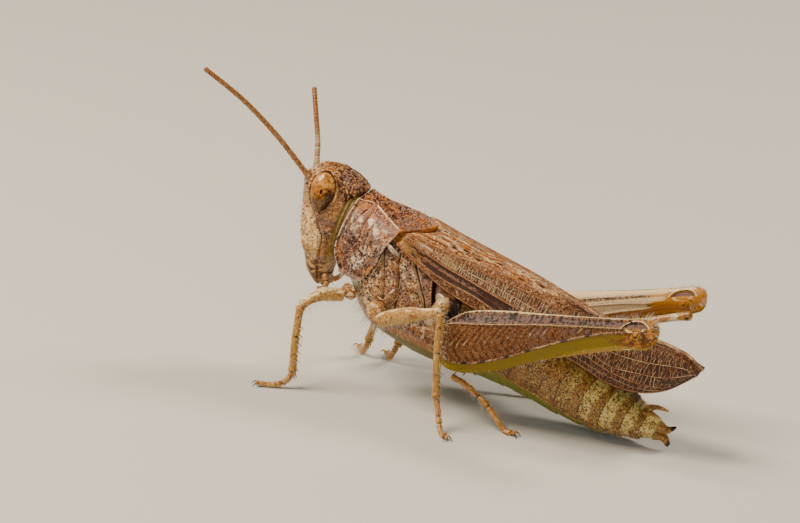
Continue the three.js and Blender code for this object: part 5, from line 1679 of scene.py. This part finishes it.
def thigh_skin(sign, back, sink):
    """The hind thigh's skin, its ribs, ridges and knee raised on it, and the marks laid in it."""
    points, t, w, outer, half = thigh_grid(sign, back, sink)
    inner = 1 - outer
    long = THIGH_TO - THIGH_FROM
    along, across = t * long, w * half
    above, below, over, under = (
        (w - through(line, t)) * half for line in (UPPER_RIDGE, LOWER_RIDGE, INNER_UPPER, INNER_LOWER)
    )
    tip = (w - through(CHEVRON_TIPS, t)) * half
    shaft = ease(0.0, 0.02, t) * ease(0.9, 0.82, t)
    field = (
        ease(-0.03, -0.1, above) * ease(0.03, 0.1, below) * outer * ease(0.03, 0.08, t) * ease(0.86, 0.7, t)
    )
    phase = 2 * np.pi * (along - CHEVRON_SLANT * np.sqrt(tip**2 + 0.006)) / CHEVRON_STEP
    ribs = np.cos(phase + 0.5 * (lumps(along, w, 0.8, 121) - 0.5))
    beads = lumps(along, across, 0.09, 132)
    window_t, window_w, window_long, window_tall = KNEE_WINDOW
    ring = np.hypot((along - window_t * long) / window_long, (w - window_w) * half / window_tall)
    arc = ease(-0.15, 0.15, (w - window_w) * half / window_tall)
    knob_t, knob_w, knob_long, knob_tall = KNEE_KNOB
    knob = spot(along, across, knob_t * long, knob_w * half, knob_long, knob_tall)
    knee = ease(0.79, 0.86, t)
    lift = (
        0.02 * ribs * field + 0.09 * (glow(above, 0.05) + glow(below, 0.05)) * outer * shaft
        + 0.07 * (glow(over, 0.05) + glow(under, 0.05)) * inner * ease(0.8, 0.74, t)
        - 0.03 * ease(0.1, 0.2, above) * ease(0.97, 0.9, w) * outer + 0.05 * glow(w - 0.97, 0.05) * shaft
        - 0.07 * ease(1.0, 0.8, ring) * arc * knee + 0.05 * glow(ring - 1.1, 0.1) * arc * knee + 0.1 * knob
    )
    upper_band = ease(0.03, 0.1, above) * outer * ease(0.95, 0.88, t)
    flange = ease(-0.03, -0.1, below) * outer
    middle = inner * ease(0.02, -0.04, over) * ease(-0.02, 0.04, under) * ease(0.8, 0.72, t)
    dots = sum(spot(t, below, place, 0.03, 0.017, 0.1) for place in RIDGE_SPOTS)
    marks = {
        "speck": np.clip(0.75 - 0.35 * knee - 0.6 * flange - 0.5 * field - 0.35 * upper_band, 0, 1),
        "warm": [
            0.4 * field * ease(-0.2, 0.5, ribs) * ease(0.7, 0.1, t),
            0.6 * ease(0.7, 0.9, t) * (0.5 + 0.5 * blotches(along, across, 0.2, 125, 0.5)),
            0.95 * inner * most([ease(0.0, -0.08, under), ease(0.7, 0.8, t)]),
            0.3 * ease(0.88, 0.94, w) * ease(0.99, 0.95, w) * outer, 0.3 * middle,
            0.5 * flange * glow(w + 0.82 - 0.1 * t, 0.06),
        ],
        "cool": [
            0.95 * upper_band * ease(0.98, 0.9, w),
            0.55 * field * blotches(along, across, 0.35, 128, 0.5) * ease(0.1, 0.5, t),
            0.42 * middle, 0.9 * ease(0.98, 0.85, ring) * arc * knee,
            0.4 * knee * ease(0.84, 0.8, t) * outer * ease(0.3, 0.6, w),
        ],
        "green": [
            0.95 * flange * ease(0.95, 0.75, t) * (0.55 + 0.45 * lumps(along * 0.4, across, 0.14, 138)),
            0.75 * ease(-0.72, -0.92, w) * inner, 0.5 * knee * ease(-0.6, -0.9, w),
            0.7 * ease(-0.9, -0.97, w), 0.45 * knob,
        ],
        "pale": [
            0.5 * glow(above, 0.035) * outer * shaft, 0.33 * glow(below, 0.028) * outer * shaft,
            0.7 * ease(0.982, 0.995, w) * shaft
            * ease(0.9, 0.4, t * (0.6 + 0.8 * lumps(along, 0 * w, 0.7, 126))),
            0.62 * inner * ease(0.02, 0.1, over) * ease(0.86, 0.8, t) * (1 - 0.5 * glow(w - 0.72, 0.1)),
            # The pale on the inner face's middle band is partly the band's own colour and partly painted
            # sunlight.
            0.57 * middle, 0.9 * inner * ease(0.8, 0.95, w) * ease(0.97, 0.93, t),
            0.85 * inner * (glow(over, 0.04) + glow(under, 0.035)) * ease(0.8, 0.74, t),
            # The pale on the crests of the ribs is painted glints.
            0.85 * field * spot(0, tip, 0, 0.15, 1, 0.16) * glow(ribs - 1, 0.12)
            * ease(0.55, 0.75, lumps(along, w, 0.3, 130)),
            0.2 * field * glow(ribs - 1, 0.25) * ease(0.5, 0.8, beads),
            0.9 * glow(ring - 1.15, 0.09) * arc * knee,
            0.7 * glow(ring - 0.75, 0.2) * ease(0.1, -0.1, w - window_w) * knee * (1 - knob),
            0.4 * knob * blotches(along, across, 0.12, 131, 0.5),
        ],
        "dark": [
            0.95 * np.clip(dots, 0, 1) * outer, 0.8 * field * glow(ribs + 1, 0.28) * ease(0.5, 0.64, beads),
            0.22 * field * glow(ribs + 1, 0.5),
            0.8 * upper_band * ease(0.56, 0.64, lumps(along, across, 0.075, 133)),
            0.3 * upper_band * ease(0.98, 0.9, w), 0.3 * flange * glow(below + 0.12, 0.08),
            0.7 * outer * glow(w - 0.92, 0.03) * ease(0.54, 0.64, lumps(along, across, 0.07, 134)) * shaft,
            0.8 * inner * glow(w - 0.74, 0.05) * ease(0.5, 0.6, lumps(along, across * 2, 0.1, 135))
            * ease(0.8, 0.7, t),
            0.35 * middle * ease(0.6, 0.7, beads), 0.95 * glow(ring - 1.0, 0.055) * arc * knee,
            0.75 * glow(
                np.hypot((along - knob_t * long) / knob_long, (w - knob_w) * half / knob_tall) - 1.1, 0.07,
            ) * knee,
            0.7 * knob * ease(0.6, 0.68, lumps(along, across, 0.08, 129)),
        ],
        "fleck": 0.3 * field + 0.35 * upper_band + 0.15,
    }
    return *raised(points, lift), t, w, outer, marks


def build_hind_legs(colours, sizes):
    cream, ochre = leg_cuticles(colours)
    plate = cuticle(
        "Ribbed thigh cuticle", colours.thigh, "#5E3A22",
        {"warm": "#C4903E", "cool": "#866A5E", "green": "#948018", "pale": "#EAD4AC", "dark": "#38200F"},
        mottle=0.085, grain=0.06, pit=0.12, rough=0.46, relief=0.015, shine=0.25, depth=0.1,
    )
    for name, (sign, back, sink, *foot) in HIND_LEGS.items():
        knob = hind_path(sign, back, sink, ((2.55, 3.5, 6.0), (2.72, 3.1, 5.2), (2.85, 3.1, 4.2)))
        grid, t, turn = limb(knob, lambda t: (0.34 + 0.1 * np.sin(np.pi * t), 0.36), 60, 32, dome=0.3)
        shape = Shape().tube(
            grid,
            pale=0.5 * blotches(t * 2, turn * 0.4, 0.2, 122, 0.45),
            cool=0.6 * blotches(turn * 0.4, t, 0.2, 123, 0.45),
            dark=0.5 * glow(t - 0.55, 0.03),
            fleck=0.4,
        )
        finish_leg(shape, name, "coxa", cream, "leg_cream")

        points, _, _, _, _, marks = thigh_skin(sign, back, sink)
        finish_leg(Shape().tube(points, **marks), name, "femur", plate, "thigh")

        path = hind_path(sign, back, sink, HIND_SHIN)
        grid, t, turn = limb(
            path, lambda t: [0.2 * knobs(t, (0.02, 0.98), 0.3, 0.03)] * 2, 260, 28, dome=0.02,
        )
        v = turn * 0.2
        shape = Shape().tube(
            grid,
            pale=0.6 * glow(t - 0.09, 0.03) + 0.3 * blotches(t * 8, v, 0.2, 135, 0.55),
            warm=0.6 * blotches(t * 6, v, 0.15, 136, 0.5),
            green=0.6 * ease(0.3, -0.5, np.sin(turn)),
            dark=0.5 * glow(t - 0.03, 0.02) + 0.6 * blotches(t * 9, v, 0.1, 137, 0.68),
            fleck=0.3,
        )
        centre = smooth_path(path)
        way = unit(np.gradient(centre, axis=0))
        under = np.cross(way, (1.0, 0.0, 0.0))
        under *= np.where(under[:, 2:] > 0, -1, 1)
        for aside, count in ((1, 12), (-1, 11)):
            places = ((0.3 + 0.66 * np.linspace(0, 1, count) ** 0.85) * (PATH_ROWS - 1)).astype(int)
            lean = unit(under[places] * 0.9 + np.array((aside * 0.45 * sign, 0, 0)))
            spine = SPINE_LONG * sizes.spine_length / MM
            spine_row(shape, centre[places] + lean * 0.14, way[places] * 0.55 + lean * 0.8, spine, 0.042)
            end = centre[-1] + np.array((aside * 0.12, 0, 0))
            spurs = np.stack([end + under[-1] * 0.08, end - under[-1] * 0.1])
            ways = np.stack([way[-1] * 0.8 + under[-1] * 0.5, way[-1] * 0.9 - under[-1] * 0.1])
            spine_row(shape, spurs, ways, 0.42, 0.045)
        finish_leg(shape, name, "tibia", ochre, "leg_ochre")
        stops = [leg_place(sign, stop) for stop in foot]
        finish_leg(foot_skin(stops, 0.18), name, "tarsus", ochre, "leg_ochre")


# ---- hairs ----

HAIR_TILES = 12  # the baking map's square is shared out in columns, one for each hairy surface
HAIR_HALF = 0.0058  # half width of a hair at its root
HAIR_TAPER = np.array([1.0, 0.8, 0.5, 0.12])


def sprout(shape, tile, points, normals, weight, count, length, lie, stand, seed):
    """Grows hairs from a grid of skin: weight says where, lie is the way they lean."""
    rng = np.random.default_rng(200 + seed)
    rows, cols = points.shape[:2]
    size = np.linalg.norm(np.cross(np.gradient(points, axis=0), np.gradient(points, axis=1)), axis=-1)
    chance = np.clip(weight, 0, None) * size
    pick = rng.choice(rows * cols, count, p=(chance / chance.sum()).ravel())
    root = points.reshape(-1, 3)[pick] + rng.normal(0, 0.02, (count, 3))
    up = normals.reshape(-1, 3)[pick]
    lie = np.array(lie, float) + rng.normal(0, 0.3, (count, 3))
    way = unit(up * stand + lie * (1 - stand) + rng.normal(0, 0.16, (count, 3)))
    t = np.linspace(0, 1, len(HAIR_TAPER))
    reach = (length * rng.uniform(0.45, 1.25, count))[:, None, None]
    curl = lie[:, None] * 0.28 * (t**2)[None, :, None]
    centres = (root - up * 0.02)[:, None] + (way[:, None] * t[None, :, None] + curl) * reach
    centres[..., 2] = np.maximum(centres[..., 2], 2 * HAIR_HALF)  # a hair bends along the floor
    uv = np.stack([(tile + (pick % cols) / cols * 0.98) / HAIR_TILES, (pick // cols) / rows], 1)
    shape.bars(centres, HAIR_HALF * HAIR_TAPER, 3, roots=uv, pale=mix(0.2, 1, t))


def fur(shape, tile, path, half, rows, *hairs):
    """Hairs all over a limb."""
    grid, _, _ = limb(path, lambda t: [half] * 2, rows, 16)
    sprout(shape, tile, grid, outward(grid), 1, *hairs)


def build_hairs(colours, sizes):
    """Fine pale bristles on the face, breast, legs, knees and along the back."""
    silk = cuticle(
        "Pale chitin hair", colours.hair, "#D8C8A8", {"pale": "#F6EEDC", "dark": "#8A7A60"},
        mottle=0.5, rough=0.35, depth=0.2,
    )
    long = sizes.hair_length / MM
    shape = Shape()
    points, normals, _, _, h, share, face, *_ = head_surface(70, 110)
    muzzle = face * ease(0.2, -0.6, h) + 0.05 * ease(1.05, 1.2, share)
    sprout(shape, 0, points, normals, muzzle, 520, 0.36 * long, (0, -0.5, -0.4), 0.8, 1)
    sprout(shape, 1, points, normals, ease(-3.2, -4.1, h), 130, 0.32 * long, (0, -0.3, -0.8), 0.7, 2)
    points, normals, a, h, *_, side = thorax_surface(70, 110)
    breast = ease(-4.2, -5.2, h) * ease(4.5, 2.0, a) * ease(0.8, 1.4, a)
    sprout(shape, 2, points, normals, breast, 380, 0.62 * long, (0, -0.3, -0.8), 0.75, 3)
    sprout(shape, 3, points, normals, side, 160, 0.22 * long, (0, 0.4, -0.6), 0.6, 4)
    x, a, h, _, across, _, _, _, hem, *_ = saddle_surface(60, 70)
    top = glow(across, 0.3) * ease(0.8, 2.4, a) + 0.15
    for tile, sign in ((4, 1), (5, -1)):
        points = in_body(sign * x, a, h)
        normals = outward(points, closed=False)
        normals = normals * np.sign(sign * normals[..., :1] + normals[..., 2:])
        sprout(shape, tile, points, normals, top, 150, 0.26 * long, (0, -0.3, 0.2), 0.85, 5 + tile)
        edge = glow(hem, 0.25)
        sprout(shape, tile, points, normals, edge, 120, 0.35 * long, (0, 0.2, -0.8), 0.6, 30 + tile)
    shape.finish("hairs_body", silk, "side_plates")

    shape = Shape()
    for number, (sign, thick, _, *stops) in enumerate(WALKERS.values()):
        hip, bow, knee, ankle, *foot = (leg_place(sign, stop) for stop in stops)
        grid, _, turn = limb([hip, bow, knee], lambda t: [thick * 0.95] * 2, 40, 16, (0, 0, 1))
        below = 0.35 + ease(0, 1, -np.cos(turn))
        sprout(shape, number, grid, outward(grid), below, 180, 0.32 * long, (0, 0, -0.5), 0.75, 50 + number)
        shin = [knee, mix(knee, ankle, 0.5), ankle]
        fur(shape, number, shin, 0.18, 40, 150, 0.3 * long, (0, 0, -0.9), 0.65, 60 + number)
        fur(shape, number, [ankle, *foot], 0.15, 40, 130, 0.2 * long, (0, 0, -0.3), 0.6, 70 + number)
    for number, (sign, back, sink, *foot) in enumerate(HIND_LEGS.values()):
        points, normals, t, w, outer, _ = thigh_skin(sign, back, sink)
        top = ease(0.8, 1.0, w) * (0.15 + ease(0.6, 1.0, t)) + 0.7 * ease(0.9, 0.96, t) * ease(-0.6, 0.4, w)
        under = 0.4 * ease(-0.9, -1.0, w) * outer
        points, normals, weight = (field[::4, ::3] for field in (points, normals, top + under))
        sprout(shape, 5 + number, points, normals, weight, 340, 0.4 * long, (0, 0.5, 0.1), 0.7, 80 + number)
        shin = hind_path(sign, back, sink, HIND_SHIN)
        fur(shape, 7 + number, shin, 0.19, 90, 260, 0.3 * long, (0, -0.3, -0.6), 0.65, 90 + number)
        foot = [leg_place(sign, stop) for stop in foot]
        fur(shape, 9 + number, foot, 0.17, 60, 200, 0.22 * long, (0, 0.3, -0.3), 0.6, 95 + number)
    shape.finish("hairs_legs", silk, "leg_cream")

    shape = Shape()
    points, normals, a, *_ = abdomen_surface(90, 90)
    rearward = 0.3 + ease(14, 17, a)
    sprout(shape, 0, points, normals, rearward, 700, 0.24 * long, (0, 0.6, -0.3), 0.6, 99)
    shape.finish("hairs_abdomen", silk, "belly_rings")


# ---- stage ----

# The view: turned from the animal's left side, raised, rolled, and how far it stands off.
VIEW_TURN = math.radians(17)
VIEW_RISE = math.radians(18)
VIEW_ROLL = math.radians(8)
VIEW_FAR = 260.0
VIEW_LENS = 234.0
VIEW_SENSOR = 36.0
VIEW_AIM = (0.0, 0.0, 6.42)
VIEW_CLIP = (0.01, 10.0)
FLOOR_REACH = 3.0  # metres from the middle to each edge

# Lights as place in millimetres, size in millimetres, share of the key's power and colour.
LAMPS = {
    "Sun window": ((60.0, -95.0, 150.0), 105.0, 1.0, "#FFF0DC"),
    "Sky fill": ((190.0, 60.0, 70.0), 160.0, 0.35, "#F1F3FA"),
    "Back rim": ((-120.0, 90.0, 140.0), 60.0, 0.55, "#FFF6E8"),
}


def build_stage(look):
    floor = bpy.data.meshes.new("floor")
    corners = [(x * FLOOR_REACH, y * FLOOR_REACH, 0) for x, y in ((-1, -1), (1, -1), (1, 1), (-1, 1))]
    floor.from_pydata(corners, [], [(0, 1, 2, 3)])
    ground = bpy.data.objects.new("floor", floor)
    bpy.context.scene.collection.objects.link(ground)
    paper = bpy.data.materials.new("Pale matt card")
    paper.use_nodes = True
    shader = paper.node_tree.nodes["Principled BSDF"]
    shader.inputs["Base Color"].default_value = look.floor[:] + (1,)
    shader.inputs["Roughness"].default_value = 0.85
    floor.materials.append(paper)

    world = bpy.data.worlds.new("Soft room")
    world.use_nodes = True
    world.node_tree.nodes["Background"].inputs["Color"].default_value = linear("#EEEAE2")
    world.node_tree.nodes["Background"].inputs["Strength"].default_value = look.room
    bpy.context.scene.world = world

    aim = (np.array(VIEW_AIM) + SHIFT * (1, 1, 0)) * MM
    for name, (place, size, share, tint) in LAMPS.items():
        lamp = bpy.data.lights.new(name, "AREA")
        lamp.shape = "DISK"
        lamp.size = size * MM
        lamp.energy = look.key_power * share
        lamp.color = linear(tint)[:3]
        holder = bpy.data.objects.new(name, lamp)
        holder.location = Vector(place) * MM
        holder.rotation_euler = (Vector(aim) - holder.location).to_track_quat("-Z", "Y").to_euler()
        holder.visible_glossy = name == "Sun window"  # only the main light is mirrored in the eyes
        bpy.context.scene.collection.objects.link(holder)

    toward = Vector((
        math.cos(VIEW_TURN) * math.cos(VIEW_RISE), math.sin(VIEW_TURN) * math.cos(VIEW_RISE),
        math.sin(VIEW_RISE),
    ))
    level = Vector((-math.sin(VIEW_TURN), math.cos(VIEW_TURN), 0))
    upright = toward.cross(level)
    right = level * math.cos(VIEW_ROLL) + upright * math.sin(VIEW_ROLL)
    above = upright * math.cos(VIEW_ROLL) - level * math.sin(VIEW_ROLL)
    lens = bpy.data.cameras.new("Portrait camera")
    lens.lens = VIEW_LENS
    lens.sensor_width = VIEW_SENSOR
    lens.clip_start, lens.clip_end = VIEW_CLIP
    camera = bpy.data.objects.new("Portrait camera", lens)
    turn = Matrix((right, above, toward)).transposed().to_4x4()
    camera.matrix_world = Matrix.Translation(Vector(aim) + toward * VIEW_FAR * MM) @ turn
    bpy.context.scene.collection.objects.link(camera)
    bpy.context.scene.camera = camera


# ---- add-on ----


def tint(name, description, code):
    """A colour a user can change, kept as linear red, green and blue."""
    return FloatVectorProperty(
        name=name, description=description, subtype="COLOR", size=3, min=0, max=1, default=pigment(code)[:3],
    )


def length(name, description, usual, low, high):
    """A length a user can change, given in millimetres."""
    return FloatProperty(
        name=name, description=description, unit="LENGTH", precision=5,
        default=usual * MM, min=low * MM, max=high * MM,
    )


class GrasshopperColours(bpy.types.PropertyGroup):
    tan: tint("Head", "Ground colour of the head", "#C08A54")
    eye: tint("Eyes", "Amber of the compound eyes", "#B58140")
    feeler: tint("Feelers", "Ground colour of the feelers", "#A87A4A")
    russet: tint("Pronotum", "Ground colour of the saddle behind the head", "#A26138")
    plates: tint("Side plates", "Ground colour of the thorax's sides", "#B98C64")
    wing: tint("Wings", "Ground colour of the fore wings", "#97683E")
    vein: tint("Veins", "Colour of the wing veins", "#B98560")
    belly: tint("Abdomen", "Ground colour of the abdomen's rings", "#A67C42")
    leg: tint("Legs", "Ground colour of the walking legs", "#C49A54")
    thigh: tint("Hind thighs", "Ground colour of the hind thighs' ribbed face", "#7E5230")
    hair: tint("Hairs", "Colour of the fine bristles", "#E6D8BC")


class GrasshopperSizes(bpy.types.PropertyGroup):
    feeler_width: length("Feeler width", "Thickness of a feeler's rings", 0.29, 0.1, 0.54)
    vein_width: length("Vein scale", "Scale of the wing veins, one millimetre being life size", 1.0, 0.3, 2)
    spine_length: length(
        "Spine scale", "Scale of the shin spines, one millimetre being life size", 1.0, 0.3, 2,
    )
    hair_length: length("Hair length", "Length of the longest bristles", 1.0, 0.2, 2)


class GrasshopperLook(bpy.types.PropertyGroup):
    floor: tint("Floor", "Colour of the floor", "#D9D6CF")
    key_power: FloatProperty(
        name="Key light", description="Power of the main light", unit="POWER", default=0.56, min=0.0,
        max=20.0,
    )
    room: FloatProperty(
        name="Room light", description="Strength of the even light all round", default=0.16, min=0.0,
        max=5.0,
    )


def run(context, *steps):
    """Shapes a group of pieces from the settings."""
    for step in steps:
        step(context.scene.grasshopper_colours, context.scene.grasshopper_sizes)
    return {"FINISHED"}


class GRASSHOPPER_OT_head(bpy.types.Operator):
    """Builds the head capsule, neck, eyes, feelers, jaws and palps"""

    bl_idname = "grasshopper.head"
    bl_label = "Head"
    bl_options = {"REGISTER", "UNDO"}

    def execute(self, context):
        return run(context, build_head, build_neck, build_mouth, build_palps, build_eyes, build_feelers)


class GRASSHOPPER_OT_pronotum(bpy.types.Operator):
    """Builds the saddle behind the head"""

    bl_idname = "grasshopper.pronotum"
    bl_label = "Pronotum"
    bl_options = {"REGISTER", "UNDO"}

    def execute(self, context):
        return run(context, build_pronotum)


class GRASSHOPPER_OT_thorax(bpy.types.Operator):
    """Builds the thorax's side plates and the folds at the hips"""

    bl_idname = "grasshopper.thorax"
    bl_label = "Thorax"
    bl_options = {"REGISTER", "UNDO"}

    def execute(self, context):
        return run(context, build_thorax, build_hips)


class GRASSHOPPER_OT_wings(bpy.types.Operator):
    """Builds the closed fore wings with their veins, and the folded hind wings"""

    bl_idname = "grasshopper.wings"
    bl_label = "Wings"
    bl_options = {"REGISTER", "UNDO"}

    def execute(self, context):
        return run(context, build_wings, build_hind_wings)


class GRASSHOPPER_OT_abdomen(bpy.types.Operator):
    """Builds the abdomen's rings, cerci and egg-laying valves"""

    bl_idname = "grasshopper.abdomen"
    bl_label = "Abdomen"
    bl_options = {"REGISTER", "UNDO"}

    def execute(self, context):
        return run(context, build_abdomen)


class GRASSHOPPER_OT_walking_legs(bpy.types.Operator):
    """Builds the front and middle legs"""

    bl_idname = "grasshopper.walking_legs"
    bl_label = "Walking legs"
    bl_options = {"REGISTER", "UNDO"}

    def execute(self, context):
        return run(context, build_walking_legs)


class GRASSHOPPER_OT_hind_legs(bpy.types.Operator):
    """Builds the folded hind legs"""

    bl_idname = "grasshopper.hind_legs"
    bl_label = "Hind legs"
    bl_options = {"REGISTER", "UNDO"}

    def execute(self, context):
        return run(context, build_hind_legs)


class GRASSHOPPER_OT_hairs(bpy.types.Operator):
    """Grows the fine bristles"""

    bl_idname = "grasshopper.hairs"
    bl_label = "Hairs"
    bl_options = {"REGISTER", "UNDO"}

    def execute(self, context):
        return run(context, build_hairs)


class GRASSHOPPER_OT_stage(bpy.types.Operator):
    """Lays the floor and sets the lights and the camera"""

    bl_idname = "grasshopper.stage"
    bl_label = "Stage"
    bl_options = {"REGISTER", "UNDO"}

    def execute(self, context):
        build_stage(context.scene.grasshopper_look)
        return {"FINISHED"}


STEPS = (
    GRASSHOPPER_OT_head, GRASSHOPPER_OT_pronotum, GRASSHOPPER_OT_thorax, GRASSHOPPER_OT_wings,
    GRASSHOPPER_OT_abdomen, GRASSHOPPER_OT_walking_legs, GRASSHOPPER_OT_hind_legs, GRASSHOPPER_OT_hairs,
    GRASSHOPPER_OT_stage,
)
GROUPS = {
    "grasshopper_colours": GrasshopperColours,
    "grasshopper_sizes": GrasshopperSizes,
    "grasshopper_look": GrasshopperLook,
}


class GRASSHOPPER_PT_panel(bpy.types.Panel):
    """The settings, and a button for each group of pieces"""

    bl_idname = "GRASSHOPPER_PT_panel"
    bl_label = "Field grasshopper"
    bl_space_type = "VIEW_3D"
    bl_region_type = "UI"
    bl_category = "Grasshopper"

    def draw(self, context):
        for attribute, group in GROUPS.items():
            column = self.layout.column(align=True)
            for name in group.__annotations__:
                column.prop(getattr(context.scene, attribute), name)
        for step in STEPS:
            self.layout.operator(step.bl_idname)


def register():
    for kind in (*GROUPS.values(), *STEPS, GRASSHOPPER_PT_panel):
        bpy.utils.register_class(kind)
    for attribute, group in GROUPS.items():
        setattr(bpy.types.Scene, attribute, PointerProperty(type=group))


def unregister():
    for attribute in GROUPS:
        delattr(bpy.types.Scene, attribute)
    for kind in (GRASSHOPPER_PT_panel, *reversed(STEPS), *reversed(list(GROUPS.values()))):
        bpy.utils.unregister_class(kind)


def main():
    register()
    bpy.ops.grasshopper.head()
    bpy.ops.grasshopper.pronotum()
    bpy.ops.grasshopper.thorax()
    bpy.ops.grasshopper.wings()
    bpy.ops.grasshopper.abdomen()
    bpy.ops.grasshopper.walking_legs()
    bpy.ops.grasshopper.hind_legs()
    bpy.ops.grasshopper.hairs()
    bpy.ops.grasshopper.stage()


if __name__ == "__main__":
    main()
